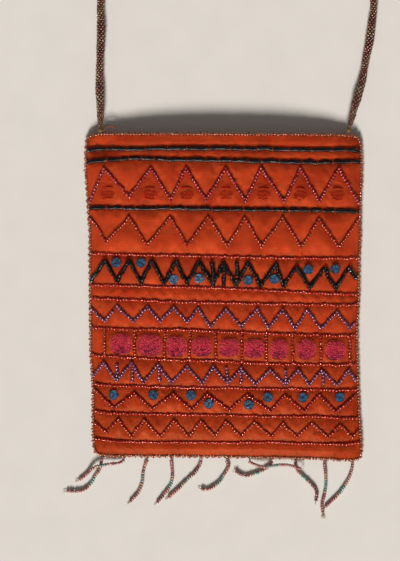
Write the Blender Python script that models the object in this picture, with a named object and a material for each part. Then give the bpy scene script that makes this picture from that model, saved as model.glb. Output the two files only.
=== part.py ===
# Beaded satin pouch with a rope strap and a bead fringe, lying on its back.
# Metres, +Z up. The origin is the middle of the back panel's flat resting face,
# +X is across the pouch and +Y runs from the hem to the mouth.
import math

import bmesh
import bpy
import numpy as np
from mathutils import Vector

# Pouch
PANEL_WIDTH = 0.1453
PANEL_HEIGHT = 0.1676
SATIN_THICKNESS = 0.0005
INTERLINING_THICKNESS = 0.0009
LINING_THICKNESS = 0.0004
LAYER_GAP = 0.0003
EDGE_LIFT = 0.0015
CROWN_RISE = 0.0082

# Beadwork
BEAD_DIAMETER = 0.0016
SEQUIN_DIAMETER = 0.0050
SEQUIN_THICKNESS = 0.0004
SEQUIN_CUP = 0.0003
SEQUIN_CUP_SHARE = 0.5
PAD_DIAMETER = 0.0098
PAD_RISE = 0.0004
PAD_SHOULDER_SHARE = 0.8
PAD_CROWN_SHARE = 1.2
BAR_THINNING_SHARE = 0.94

# Fringe
STRAND_DIAMETER = 0.0018
STRAND_REACH = 0.030
STRAND_STEP = 0.0042
STRAND_ROOT_SHARE = 0.5

# Strap
STRAP_DIAMETER = 0.0050
STRAP_STEP = 0.0110
STRAP_END_LENGTH = 0.0080
STRAP_NECK_DIAMETER = 0.0030
STRAP_BASE_HEIGHT = 0.0050
STRAP_EXIT_HEIGHT = 0.0039
COIL_X = 0.0070
COIL_ENTRY_Y = 0.1740
COIL_MEAN_RADIUS = 0.0277
COIL_TURN_GAP = 0.0006
COIL_TURNS = 4
COIL_POINTS_PER_TURN = 24

# Thread loop above the mouth
LOOP_THREAD_DIAMETER = 0.0009
LOOP_SPAN = 0.0062

# Shape of the panel, as shares of its width or height
ACROSS_SHARES = (0, 0.015, 0.04, 0.085, 0.16, 0.26, 0.38, 0.5,
                 0.62, 0.74, 0.84, 0.915, 0.96, 0.985, 1)
DOWN_SHARES = (0, 0.012, 0.05, 0.12, 0.21, 0.31, 0.41, 0.51,
               0.61, 0.71, 0.80, 0.88, 0.94, 0.98, 1)
LEFT_INSET_SHARES = (0, 0, 0.008, 0.016, 0.016, 0.016, 0.018, 0.019, 0.027, 0.027, 0.027)
RIGHT_INSET_SHARES = (0.004, 0.002, 0.007, 0.007, 0.012, 0.013, 0.019, 0.018, 0.0145, 0.010, -0.002)
HEM_DROP_SHARE = 0.0146
CORNER_SHARE = 0.018
CORNER_POWER = 30
SIDE_PUFF_POWER = 2.6
SIDE_PUFF_ROUNDNESS = 0.7
HEM_PUFF_POWER = 7
HEM_PUFF_ROUNDNESS = 0.65
MOUTH_PUFF_SHARE = 0.88
MOUTH_REACH_SHARE = 0.35
RIM_ROLL_SHARE = 0.04

# Strap ends: where each is sewn across the mouth, how far it leans outward, and
# its outline as (share along, share of the widening)
STRAP_LEFT_SHARE = 0.0425
STRAP_RIGHT_SHARE = 0.966
STRAP_LEFT_LEAN_SHARE = 0
STRAP_RIGHT_LEAN_SHARE = 0.25
HEEL_SHARES = ((-1, 0.1), (-0.85, 0.53), (-0.5, 0.87), (0, 1))
BINDING_SHARES = ((0.30, 0.12), (0.55, 0.45), (0.80, 0.88), (0.94, 1), (1, 1))
LEVEL_SHARE = 0.8

# Straight rows: share of the height, at seven even places from side to side
ROW_END_SHARE = 0.009
ROW_SHARES = {
    "black_row_1": (0.032, 0.037, 0.034, 0.035, 0.037, 0.039, 0.035),
    "black_row_2": (0.071, 0.068, 0.071, 0.072, 0.076, 0.079, 0.072),
    "black_row_3": (0.218, 0.227, 0.225, 0.227, 0.227, 0.229, 0.228),
    "red_row_1": (0.370, 0.373, 0.375, 0.376, 0.377, 0.378, 0.377),
    "red_row_2": (0.471, 0.472, 0.475, 0.478, 0.483, 0.490, 0.493),
    "red_row_3": (0.513, 0.515, 0.519, 0.522, 0.524, 0.524, 0.526),
    "red_row_4": (0.788, 0.790, 0.793, 0.791, 0.792, 0.792, 0.795),
    "red_row_5": (0.875, 0.876, 0.875, 0.875, 0.879, 0.877, 0.887),
    "red_row_6": (0.963, 0.963, 0.961, 0.959, 0.957, 0.957, 0.961),
}
LADDER_TOP_SHARES = (0.608, 0.609, 0.609, 0.614, 0.618, 0.621, 0.623)
LADDER_FOOT_SHARES = (0.694, 0.701, 0.706, 0.707, 0.713, 0.714, 0.714)
LADDER_BAR_SHARES = (0.048, 0.163, 0.276, 0.370, 0.467, 0.567, 0.659, 0.756, 0.862, 0.973)

# Zigzags: turning points as (share across, share down)
CRIMSON_ZIGZAG_SHARES = (
    (0.009, 0.192), (0.065, 0.099), (0.151, 0.188), (0.236, 0.099), (0.304, 0.200),
    (0.363, 0.099), (0.433, 0.200), (0.508, 0.099), (0.577, 0.202), (0.635, 0.099),
    (0.720, 0.202), (0.777, 0.098), (0.849, 0.201), (0.919, 0.098), (0.990, 0.206))
COPPER_ZIGZAG_UPPER_SHARES = (
    (0.009, 0.262), (0.056, 0.334), (0.146, 0.254), (0.210, 0.342), (0.298, 0.254),
    (0.359, 0.342), (0.438, 0.253), (0.508, 0.344), (0.573, 0.256), (0.634, 0.346),
    (0.712, 0.255), (0.783, 0.346), (0.847, 0.258), (0.924, 0.348), (0.990, 0.254))
BLACK_ZIGZAG_SHARES = (
    (0.010, 0.448), (0.054, 0.391), (0.099, 0.455), (0.143, 0.390), (0.188, 0.458),
    (0.229, 0.390), (0.274, 0.459), (0.319, 0.390), (0.360, 0.460), (0.404, 0.391),
    (0.457, 0.461), (0.494, 0.394), (0.543, 0.462), (0.587, 0.392), (0.633, 0.464),
    (0.692, 0.396), (0.719, 0.463), (0.768, 0.405), (0.816, 0.468), (0.878, 0.405),
    (0.888, 0.437), (0.916, 0.469), (0.964, 0.404), (0.990, 0.436))
BLACK_BAR_SHARES = (
    ((0.452, 0.390), (0.456, 0.459)),
    ((0.496, 0.398), (0.497, 0.464)),
    ((0.545, 0.390), (0.544, 0.460)))
VIOLET_ZIGZAG_UPPER_SHARES = (
    (0.009, 0.553), (0.051, 0.584), (0.098, 0.536), (0.158, 0.584), (0.211, 0.537),
    (0.260, 0.582), (0.312, 0.538), (0.361, 0.584), (0.402, 0.540), (0.448, 0.598),
    (0.507, 0.543), (0.564, 0.598), (0.623, 0.542), (0.668, 0.600), (0.717, 0.543),
    (0.768, 0.601), (0.810, 0.543), (0.864, 0.600), (0.923, 0.548), (0.975, 0.600),
    (0.990, 0.586))
VIOLET_ZIGZAG_LOWER_SHARES = (
    (0.009, 0.757), (0.046, 0.716), (0.087, 0.773), (0.152, 0.715), (0.189, 0.776),
    (0.249, 0.721), (0.295, 0.777), (0.359, 0.723), (0.412, 0.778), (0.457, 0.723),
    (0.510, 0.776), (0.562, 0.726), (0.612, 0.778), (0.671, 0.731), (0.725, 0.777),
    (0.777, 0.731), (0.816, 0.778), (0.865, 0.731), (0.922, 0.776), (0.969, 0.731),
    (0.988, 0.765))
VIOLET_BAR_SHARES = (
    ((0.095, 0.719), (0.088, 0.771)),
    ((0.152, 0.717), (0.146, 0.776)),
    ((0.250, 0.724), (0.253, 0.773)),
    ((0.506, 0.722), (0.510, 0.774)),
    ((0.562, 0.728), (0.559, 0.776)),
    ((0.728, 0.729), (0.726, 0.774)),
    ((0.866, 0.733), (0.870, 0.776)))
RED_ZIGZAG_SHARES = (
    (0.010, 0.808), (0.077, 0.857), (0.153, 0.809), (0.221, 0.859), (0.300, 0.810),
    (0.371, 0.858), (0.429, 0.810), (0.513, 0.858), (0.580, 0.809), (0.667, 0.860),
    (0.724, 0.809), (0.794, 0.859), (0.854, 0.808), (0.915, 0.858), (0.988, 0.814))
COPPER_ZIGZAG_LOWER_SHARES = (
    (0.020, 0.922), (0.050, 0.936), (0.092, 0.896), (0.142, 0.947), (0.190, 0.895),
    (0.249, 0.946), (0.303, 0.895), (0.357, 0.944), (0.405, 0.895), (0.455, 0.943),
    (0.499, 0.895), (0.552, 0.941), (0.604, 0.897), (0.665, 0.940), (0.713, 0.899),
    (0.762, 0.939), (0.823, 0.897), (0.879, 0.939), (0.928, 0.902), (0.972, 0.940),
    (0.988, 0.925))

# Places of sequins and embroidered pads, as (share across, share down)
SEQUIN_SHARES = (
    (0.095, 0.399), (0.188, 0.399), (0.311, 0.451), (0.405, 0.447),
    (0.587, 0.452), (0.685, 0.448), (0.811, 0.417), (0.913, 0.414),
    (0.075, 0.818), (0.225, 0.816), (0.368, 0.815), (0.435, 0.841),
    (0.586, 0.842), (0.658, 0.818), (0.792, 0.817), (0.931, 0.815))
PAD_SHARES = (
    (0.112, 0.656), (0.221, 0.658), (0.321, 0.662), (0.417, 0.662), (0.519, 0.663),
    (0.613, 0.665), (0.707, 0.667), (0.809, 0.666), (0.918, 0.669))

# Fringe: share across the hem of each root, then its stops from there as shares of the
# panel's width (sideways), the reach (outward) and its own diameter (over lying flat)
STRAND_SHARES = (
    (0.019, ((-0.002, -0.16, 0), (-0.006, -0.25, 0), (-0.025, -0.39, 0), (-0.039, -0.51, 0),
             (-0.072, -0.63, 0), (-0.128, -0.64, 0))),
    (0.106, ((-0.017, -0.11, 0.7), (-0.047, -0.13, 0.95), (-0.087, -0.16, 1.3),
             (-0.116, -0.21, 0.85), (-0.138, -0.32, 0.05), (-0.167, -0.43, 0))),
    (0.193, ((-0.008, -0.15, 0), (-0.017, -0.33, 0), (-0.019, -0.47, 0), (-0.035, -0.65, 0),
             (-0.064, -0.80, 0))),
    (0.284, ((0.002, -0.17, 0), (0.004, -0.28, 0), (0.002, -0.42, 0), (-0.010, -0.56, 0),
             (-0.052, -0.81, 0))),
    (0.398, ((-0.006, -0.14, 0), (-0.023, -0.27, 0), (-0.052, -0.40, 0), (-0.083, -0.55, 0),
             (-0.120, -0.71, 0))),
    (0.496, ((0.006, -0.16, 0), (-0.008, -0.28, 0), (-0.029, -0.43, 0), (-0.054, -0.52, 0),
             (-0.076, -0.56, 0), (-0.095, -0.54, 0))),
    (0.583, ((0.023, -0.11, 1.05), (0.056, -0.15, 1.5), (0.076, -0.13, 1.55),
             (0.109, -0.11, 1.35), (0.138, -0.11, 1.4), (0.163, -0.14, 1.55),
             (0.186, -0.18, 1.3))),
    (0.667, ((-0.010, -0.13, 0.1), (-0.029, -0.19, 0), (-0.054, -0.25, 0),
             (-0.091, -0.30, 0), (-0.116, -0.27, 0), (-0.132, -0.21, 0))),
    (0.757, ((0.002, -0.15, 0), (0.012, -0.23, 0), (0.047, -0.39, 0), (0.070, -0.51, 0),
             (0.078, -0.63, 0), (0.074, -0.74, 0))),
    (0.866, ((0.004, -0.17, 0), (0.006, -0.32, 0), (0.006, -0.47, 0), (0, -0.64, 0),
             (-0.008, -0.82, 0), (-0.004, -1.01, 0))),
    (0.974, ((-0.002, -0.17, 0), (-0.008, -0.27, 0), (-0.019, -0.39, 0), (-0.047, -0.59, 0),
             (-0.074, -0.71, 0), (-0.089, -0.77, 0))),
)

# Strands that touch or cross, and so lift together, about the outermost root
STRAND_GROUPS = ((1, 2), (3,), (4, 5), (6,), (7, 8, 9), (10, 11))

# Route of the strap where it isn't coiled, in metres
STRAP_LEFT_ROUTE = (
    (-0.0653, 0.0958, 0.0039), (-0.0653, 0.1008, 0.0039), (-0.0656, 0.1080, 0.0028),
    (-0.0658, 0.1150, 0.0025), (-0.0655, 0.1250, 0.0025), (-0.0649, 0.1400, 0.0025),
    (-0.0652, 0.1530, 0.0025), (-0.0636, 0.1630, 0.0025), (-0.0575, 0.1705, 0.0025),
    (-0.0470, 0.1738, 0.0025), (-0.0300, 0.1742, 0.0025), (-0.0150, 0.1740, 0.0025),
    (-0.0033, 0.1740, 0.0025), (0.0017, 0.1740, 0.0025))
STRAP_RIGHT_ROUTE = (
    (0.0123, 0.1740, 0.0081), (0.0173, 0.1740, 0.0081), (0.0250, 0.1740, 0.0072),
    (0.0340, 0.1740, 0.0046), (0.0420, 0.1741, 0.0028), (0.0500, 0.1742, 0.0025),
    (0.0620, 0.1733, 0.0025), (0.0715, 0.1695, 0.0025), (0.0775, 0.1620, 0.0025),
    (0.0793, 0.1540, 0.0025), (0.0782, 0.1440, 0.0025), (0.0770, 0.1345, 0.0025),
    (0.0750, 0.1244, 0.0025), (0.0732, 0.1140, 0.0025), (0.0712, 0.1070, 0.0031),
    (0.0693, 0.1006, 0.0039), (0.0680, 0.0956, 0.0039))

# Thread loop: share across the mouth of its middle, then its stops as shares of its span
THREAD_LOOP_SHARE = 0.079
THREAD_LOOP_SHARES = (
    (-0.50, 0, -0.08), (-0.47, 0.11, -0.08), (-0.27, 0.31, -0.11), (0.02, 0.39, -0.14),
    (0.29, 0.32, -0.14), (0.47, 0.13, -0.05), (0.50, 0.02, -0.01))

# Counts
ROD_SIDES = 6
DISC_SIDES = 10
PAD_SIDES = 12
STRAP_END_SIDES = 10
ROUTE_STEPS = 16
CORNER_STRETCH = 1.3
SMOOTH_ANGLE = math.radians(45)

BEAD_RADIUS = BEAD_DIAMETER / 2
STRAND_RADIUS = STRAND_DIAMETER / 2
STRAP_RADIUS = STRAP_DIAMETER / 2
RIM_HEIGHT = EDGE_LIFT + SATIN_THICKNESS + LAYER_GAP + SATIN_THICKNESS
RIM_BEAD_DROP = SATIN_THICKNESS + LAYER_GAP / 2
RIM_BEAD_REACH = 2 * (BEAD_RADIUS + LAYER_GAP)
FRONT_STACK = SATIN_THICKNESS + LAYER_GAP + INTERLINING_THICKNESS + LAYER_GAP
CHORD_TOLERANCE = LAYER_GAP / 4


def clear_scene():
    for old in list(bpy.data.objects):
        bpy.data.objects.remove(old, do_unlink=True)


def linear(channel):
    """One sRGB channel, from 0 to 1, as linear light."""
    return channel / 12.92 if channel <= 0.04045 else ((channel + 0.055) / 1.055) ** 2.4


def material(name, hex_colour, roughness, metallic=0.0):
    made = bpy.data.materials.new(name)
    made.use_nodes = True
    shader = made.node_tree.nodes["Principled BSDF"]
    channels = [int(hex_colour[k:k + 2], 16) / 255 for k in (0, 2, 4)]
    shader.inputs["Base Color"].default_value = (*[linear(c) for c in channels], 1.0)
    shader.inputs["Roughness"].default_value = roughness
    shader.inputs["Metallic"].default_value = metallic
    return made


def add_object(name, bm, finish):
    """One named object with its own material, faces out, round sides smooth."""
    bmesh.ops.recalc_face_normals(bm, faces=bm.faces[:])
    mesh = bpy.data.meshes.new(name)
    bm.to_mesh(mesh)
    bm.free()
    mesh.shade_smooth()
    mesh.set_sharp_from_angle(angle=SMOOTH_ANGLE)
    mesh.materials.append(finish)
    made = bpy.data.objects.new(name, mesh)
    bpy.context.scene.collection.objects.link(made)
    return made


def hinge_at(name, point, pieces):
    """An empty on a joint's axis that carries the pieces that turn about it."""
    hinge = bpy.data.objects.new(name, None)
    hinge.location = point
    bpy.context.scene.collection.objects.link(hinge)
    for piece in pieces:
        piece.parent = hinge
        piece.matrix_parent_inverse = hinge.matrix_basis.inverted()


# The panel's outline and its puffed shape

def place(across, down):
    """Where a share of the width and of the height falls on the flat outline."""
    even = np.linspace(0, 1, len(LEFT_INSET_SHARES))
    left = np.interp(down, even, LEFT_INSET_SHARES)
    right = np.interp(down, even, RIGHT_INSET_SHARES)
    side = 2 * across - 1
    rise = 2 * down - 1
    x = (across - 0.5) * (1 - CORNER_SHARE * abs(rise) ** CORNER_POWER)
    x += left * (1 - across) - right * across
    y = (0.5 - down) * (1 - CORNER_SHARE * abs(side) ** CORNER_POWER)
    y -= HEM_DROP_SHARE * (across - 0.5) * down
    return x * PANEL_WIDTH, y * PANEL_HEIGHT


def puff(across, down):
    """Share of the crown's rise that the front has at a place, 0 at the seams."""
    side = (1 - abs(2 * across - 1) ** SIDE_PUFF_POWER) ** SIDE_PUFF_ROUNDNESS
    hem = (1 - down ** HEM_PUFF_POWER) ** HEM_PUFF_ROUNDNESS
    reach = math.sin(math.pi / 2 * min(1, down / MOUTH_REACH_SHARE))
    mouth = MOUTH_PUFF_SHARE + (1 - MOUTH_PUFF_SHARE) * reach
    return side * hem * mouth


def back_height(across, down):
    """Height of the back panel's underside: flat on the table, rolled up at its rim."""
    edge = min(across, 1 - across, down, 1 - down)
    return EDGE_LIFT * max(0, 1 - edge / RIM_ROLL_SHARE) ** 2


def front_height(across, down):
    return RIM_HEIGHT + CROWN_RISE * puff(across, down)


def grid_of(height):
    return [[Vector((*place(a, d), height(a, d))) for d in DOWN_SHARES] for a in ACROSS_SHARES]


FRONT_GRID = grid_of(front_height)
BACK_GRID = grid_of(back_height)


def on_front(across, down):
    """The point on the front panel's outer face at a share across and down."""
    i = min(int(np.searchsorted(ACROSS_SHARES, across, side="right")) - 1, len(ACROSS_SHARES) - 2)
    j = min(int(np.searchsorted(DOWN_SHARES, down, side="right")) - 1, len(DOWN_SHARES) - 2)
    u = (across - ACROSS_SHARES[i]) / (ACROSS_SHARES[i + 1] - ACROSS_SHARES[i])
    v = (down - DOWN_SHARES[j]) / (DOWN_SHARES[j + 1] - DOWN_SHARES[j])
    near = FRONT_GRID[i][j].lerp(FRONT_GRID[i + 1][j], u)
    far = FRONT_GRID[i][j + 1].lerp(FRONT_GRID[i + 1][j + 1], u)
    return near.lerp(far, v)


def cloth_layer(name, grid, sunk, thickness, margin, finish):
    """A sheet parallel to a grid, its top face sunk below it, with margins in grid lines."""
    side, mouth, hem = margin
    columns = grid[side:len(grid) - side]
    rows = [column[mouth:len(column) - hem] for column in columns]
    bm = bmesh.new()
    top = [[bm.verts.new(p - Vector((0, 0, sunk))) for p in row] for row in rows]
    foot = [[bm.verts.new(p - Vector((0, 0, sunk + thickness))) for p in row] for row in rows]
    last_i = len(rows) - 1
    last_j = len(rows[0]) - 1
    for i in range(last_i):
        for j in range(last_j):
            bm.faces.new((top[i][j], top[i][j + 1], top[i + 1][j + 1], top[i + 1][j]))
            bm.faces.new((foot[i][j], foot[i + 1][j], foot[i + 1][j + 1], foot[i][j + 1]))
    rim = [(i, 0) for i in range(last_i)] + [(last_i, j) for j in range(last_j)]
    rim += [(i, last_j) for i in range(last_i, 0, -1)] + [(0, j) for j in range(last_j, 0, -1)]
    for here, after in zip(rim, rim[1:] + rim[:1]):
        corners = (top[here[0]][here[1]], top[after[0]][after[1]],
                   foot[after[0]][after[1]], foot[here[0]][here[1]])
        bm.faces.new(corners)
    return add_object(name, bm, finish)


# Discs that follow the front panel

def add_disc(bm, centre, profile, sides):
    """A low closed disc on the front panel. profile lists (radius, height over the satin)."""
    middle = on_front(*centre)
    rings = []
    for radius, lift in profile:
        ring = []
        for k in range(sides if radius else 1):
            turn = 2 * math.pi * k / sides
            across = centre[0] + radius * math.cos(turn) / PANEL_WIDTH
            down = centre[1] - radius * math.sin(turn) / PANEL_HEIGHT
            height = on_front(across, down).z + lift
            spot = (middle.x + radius * math.cos(turn), middle.y + radius * math.sin(turn), height)
            ring.append(bm.verts.new(spot))
        rings.append(ring)
    for inner, outer in zip(rings, rings[1:]):
        for k in range(sides):
            after = (k + 1) % sides
            if len(inner) == 1:
                bm.faces.new((inner[0], outer[k], outer[after]))
            elif len(outer) == 1:
                bm.faces.new((inner[k], inner[after], outer[0]))
            else:
                bm.faces.new((inner[k], inner[after], outer[after], outer[k]))


def sequin(name, centre, finish):
    """A cupped sequin, its rim nearest the satin."""
    radius = SEQUIN_DIAMETER / 2
    inner = radius * SEQUIN_CUP_SHARE
    low = LAYER_GAP
    profile = ((0, low + SEQUIN_CUP), (inner, low + SEQUIN_CUP), (radius, low),
               (radius, low + SEQUIN_THICKNESS), (inner, low + SEQUIN_CUP + SEQUIN_THICKNESS),
               (0, low + SEQUIN_CUP + SEQUIN_THICKNESS))
    bm = bmesh.new()
    add_disc(bm, centre, profile, DISC_SIDES)
    return add_object(name, bm, finish)


def embroidered_pads(name, finish):
    """Silk pads, sunk into the satin so that they join it."""
    radius = PAD_DIAMETER / 2
    shoulder = radius * PAD_SHOULDER_SHARE
    sunk = SATIN_THICKNESS / 2
    bm = bmesh.new()
    for centre in PAD_SHARES:
        profile = ((0, -sunk), (radius, -sunk), (shoulder, PAD_RISE),
                   (0, PAD_RISE * PAD_CROWN_SHARE))
        add_disc(bm, centre, profile, PAD_SIDES)
    return add_object(name, bm, finish)


# Strings of beads, as six-sided rods

def sweep_rings(bm, centres, radii, sides, closed=False):
    """Join upright rings along a path, mitred at its bends as seen from above."""
    count = len(centres)
    flat = [Vector((c.x, c.y, 0)) for c in centres]
    rings = []
    for k in range(count):
        before = flat[k] - flat[k - 1] if closed or k else flat[1] - flat[0]
        after = flat[(k + 1) % count] - flat[k] if closed or k < count - 1 else before
        first = Vector((-before.y, before.x, 0)).normalized()
        second = Vector((-after.y, after.x, 0)).normalized()
        side = (first + second).normalized()
        side *= min(1 / max(side.dot(first), 1 / CORNER_STRETCH), CORNER_STRETCH)
        ring = []
        for m in range(sides):
            turn = 2 * math.pi * m / sides
            offset = side * math.cos(turn) + Vector((0, 0, math.sin(turn)))
            ring.append(bm.verts.new(centres[k] + offset * radii[k]))
        rings.append(ring)
    pairs = list(zip(rings, rings[1:]))
    if closed:
        pairs.append((rings[-1], rings[0]))
    for one, two in pairs:
        for m in range(sides):
            n = (m + 1) % sides
            bm.faces.new((one[m], one[n], two[n], two[m]))
    if not closed:
        bm.faces.new(rings[0])
        bm.faces.new(rings[-1][::-1])


def crossings(start, end):
    """Shares along a straight run where it meets the panel's grid lines."""
    found = []
    for lines, a, b in ((ACROSS_SHARES, start[0], end[0]), (DOWN_SHARES, start[1], end[1])):
        found += [(line - a) / (b - a) for line in lines if min(a, b) < line < max(a, b)]
    return sorted(found)


def laid_on_front(stops):
    """Points over the front panel along straight runs, more where it bends under them."""
    lift = Vector((0, 0, BEAD_RADIUS + LAYER_GAP))
    points = [on_front(*stops[0]) + lift]
    for start, end in zip(stops, stops[1:]):
        goal = on_front(*end) + lift
        here = points[-1]
        done = 0
        for t in crossings(start, end):
            spot = (start[0] + (end[0] - start[0]) * t, start[1] + (end[1] - start[1]) * t)
            point = on_front(*spot) + lift
            chord = here.lerp(goal, (t - done) / (1 - done))
            if abs(point.z - chord.z) > CHORD_TOLERANCE:
                points.append(point)
                here = point
                done = t
        points.append(goal)
    return points


def add_rod(bm, stops, radius=BEAD_RADIUS):
    points = laid_on_front(stops)
    sweep_rings(bm, points, [radius] * len(points), ROD_SIDES)


def row_stops(shares):
    """Even stops from side to side for a straight row."""
    even = np.linspace(ROW_END_SHARE, 1 - ROW_END_SHARE, len(shares))
    return [(float(a), d) for a, d in zip(even, shares)]


def bead_row(name, stops, finish):
    bm = bmesh.new()
    add_rod(bm, stops)
    return add_object(name, bm, finish)


def join_shapes(made, other):
    """Fuse another object's shape into this one and keep the other as a hidden tool."""
    other.hide_render = True
    other.display_type = "WIRE"
    union = made.modifiers.new("join_" + other.name, "BOOLEAN")
    union.operation = "UNION"
    union.solver = "EXACT"
    union.object = other


def add_bars(made, bars, finish):
    """Short strings that branch off a row; a hair thinner, so that no faces coincide."""
    bm = bmesh.new()
    for bar in bars:
        add_rod(bm, bar, BEAD_RADIUS * BAR_THINNING_SHARE)
    join_shapes(made, add_object(made.name + "_bars", bm, finish))


def ladder(name, finish):
    """Two rows with ten rungs between them, strung as one piece."""
    top = row_stops(LADDER_TOP_SHARES)
    foot = row_stops(LADDER_FOOT_SHARES)
    bm = bmesh.new()
    add_rod(bm, top)
    add_rod(bm, foot)
    even = [a for a, d in top]
    bars = []
    for across in LADDER_BAR_SHARES:
        upper = float(np.interp(across, even, LADDER_TOP_SHARES))
        lower = float(np.interp(across, even, LADDER_FOOT_SHARES))
        bars.append(((across, upper), (across, lower)))
    made = add_object(name, bm, finish)
    add_bars(made, bars, finish)
    return made


def edge_beading(name, finish):
    """One string of beads all round the rim: side and hem seams, and the front's lip."""
    last_i = len(ACROSS_SHARES) - 1
    last_j = len(DOWN_SHARES) - 1
    rim = [FRONT_GRID[i][0] for i in range(last_i)]
    rim += [FRONT_GRID[last_i][j] for j in range(last_j)]
    rim += [FRONT_GRID[i][last_j] for i in range(last_i, 0, -1)]
    rim += [FRONT_GRID[0][j] for j in range(last_j, 0, -1)]
    drop = Vector((0, 0, RIM_BEAD_DROP))
    out = BEAD_RADIUS + LAYER_GAP
    count = len(rim)
    points = []
    for k, here in enumerate(rim):
        before = here - rim[k - 1]
        after = rim[(k + 1) % count] - here
        first = Vector((-before.y, before.x, 0)).normalized()
        second = Vector((-after.y, after.x, 0)).normalized()
        normal = (first + second).normalized()
        points.append(here - drop + normal * out / max(normal.dot(first), 1 / CORNER_STRETCH))
    bm = bmesh.new()
    sweep_rings(bm, points, [BEAD_RADIUS] * count, ROD_SIDES, closed=True)
    return add_object(name, bm, finish)


# Round cords

def smooth_route(route, step):
    """Even points on a smooth curve through a route's own points."""
    spots = [Vector(p) for p in route]
    ends = [spots[0] * 2 - spots[1]] + spots + [spots[-1] * 2 - spots[-2]]
    fine = []
    for a, b, c, d in zip(ends, ends[1:], ends[2:], ends[3:]):
        for k in range(ROUTE_STEPS):
            t = k / ROUTE_STEPS
            fine.append(0.5 * (2 * b + (c - a) * t + (2 * a - 5 * b + 4 * c - d) * t ** 2
                               + (3 * b - a - 3 * c + d) * t ** 3))
    fine.append(spots[-1])
    walked = [0.0]
    for one, two in zip(fine, fine[1:]):
        walked.append(walked[-1] + (two - one).length)
    count = max(2, round(walked[-1] / step))
    goals = np.linspace(0, walked[-1], count + 1)
    return [Vector([float(np.interp(g, walked, [p[axis] for p in fine])) for axis in range(3)])
            for g in goals]


def tube(name, points, radius, resolution, finish, root_share=1):
    """A round cord as a bevelled curve with closed ends, its first end as thick as root_share."""
    curve = bpy.data.curves.new(name, "CURVE")
    curve.dimensions = "3D"
    curve.bevel_depth = radius
    curve.bevel_resolution = resolution
    curve.use_fill_caps = True
    spline = curve.splines.new("POLY")
    spline.points.add(len(points) - 1)
    for spot, point in zip(spline.points, points):
        spot.co = (*point, 1)
    spline.points[0].radius = root_share
    curve.materials.append(finish)
    made = bpy.data.objects.new(name, curve)
    bpy.context.scene.collection.objects.link(made)
    return made


def coil_points():
    """Spiral in on the lower layer, climb where it turns back, spiral out on the upper."""
    step_out = STRAP_DIAMETER + COIL_TURN_GAP
    outer = COIL_MEAN_RADIUS + step_out * COIL_TURNS / 4
    centre_y = COIL_ENTRY_Y + outer
    points = [Vector((COIL_X - STRAP_DIAMETER, COIL_ENTRY_Y, STRAP_RADIUS))]
    for k in range(COIL_TURNS * COIL_POINTS_PER_TURN + 1):
        turns = k / COIL_POINTS_PER_TURN
        inward = COIL_TURNS / 2 - abs(turns - COIL_TURNS / 2)
        radius = outer - step_out * inward
        climb = min(1, max(0, (turns - COIL_TURNS / 2) / 0.5 + 0.5))
        height = STRAP_RADIUS + step_out * climb ** 2 * (3 - 2 * climb)
        turn = 2 * math.pi * turns - math.pi / 2
        x = COIL_X + radius * math.cos(turn)
        points.append(Vector((x, centre_y + radius * math.sin(turn), height)))
    points.append(Vector((COIL_X + STRAP_DIAMETER, COIL_ENTRY_Y, STRAP_RADIUS + step_out)))
    return points


def least_gap(points, diameter):
    """Least clear distance between turns of a coil, measured on its points."""
    spots = np.array([tuple(p) for p in points])
    apart = np.linalg.norm(spots[:, None] - spots[None, :], axis=2)
    order = np.arange(len(spots))
    near = np.abs(order[:, None] - order[None, :]) < COIL_POINTS_PER_TURN // 3
    apart[near] = np.inf
    return float(apart.min()) - diameter


def length_of(points):
    return sum((b - a).length for a, b in zip(points, points[1:]))


def strap_end(name, base, exit_point, finish):
    """Bound end of the strap: a rounded heel on the hinge line that widens to the rope."""
    heel = STRAP_NECK_DIAMETER / 2
    run = exit_point - base
    centres = [base + run.normalized() * heel * along for along, wide in HEEL_SHARES]
    radii = [heel * wide for along, wide in HEEL_SHARES]
    for along, wide in BINDING_SHARES:
        centre = base.lerp(exit_point, along)
        centre.z = base.z + run.z * min(1, along / LEVEL_SHARE)
        centres.append(centre)
        radii.append(heel + (STRAP_RADIUS - heel) * wide)
    bm = bmesh.new()
    sweep_rings(bm, centres, radii, STRAP_END_SIDES)
    return add_object(name, bm, finish)


# The parts

def make_pouch():
    satin_front = material("orange_satin_front", "C8401C", 0.42)
    front = cloth_layer("front_panel", FRONT_GRID, 0, SATIN_THICKNESS, (0, 0, 0), satin_front)
    join_shapes(front, embroidered_pads("embroidered_pads", material("pink_silk", "A82C46", 0.6)))
    cloth_layer("front_interlining", FRONT_GRID, SATIN_THICKNESS + LAYER_GAP, INTERLINING_THICKNESS,
                (1, 1, 1), material("buckram_interlining", "C9BEA6", 0.9))
    cloth_layer("front_lining", FRONT_GRID, FRONT_STACK, LINING_THICKNESS,
                (2, 1, 2), material("cotton_front_lining", "8A2E1C", 0.85))
    lifted = [[p + Vector((0, 0, SATIN_THICKNESS)) for p in column] for column in BACK_GRID]
    cloth_layer("back_panel", lifted, 0, SATIN_THICKNESS,
                (0, 0, 0), material("orange_satin_back", "B83A1A", 0.42))
    raised = LAYER_GAP + LINING_THICKNESS
    cloth_layer("back_lining", lifted, -raised, LINING_THICKNESS,
                (2, 1, 2), material("cotton_back_lining", "8A2E1C", 0.85))


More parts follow.
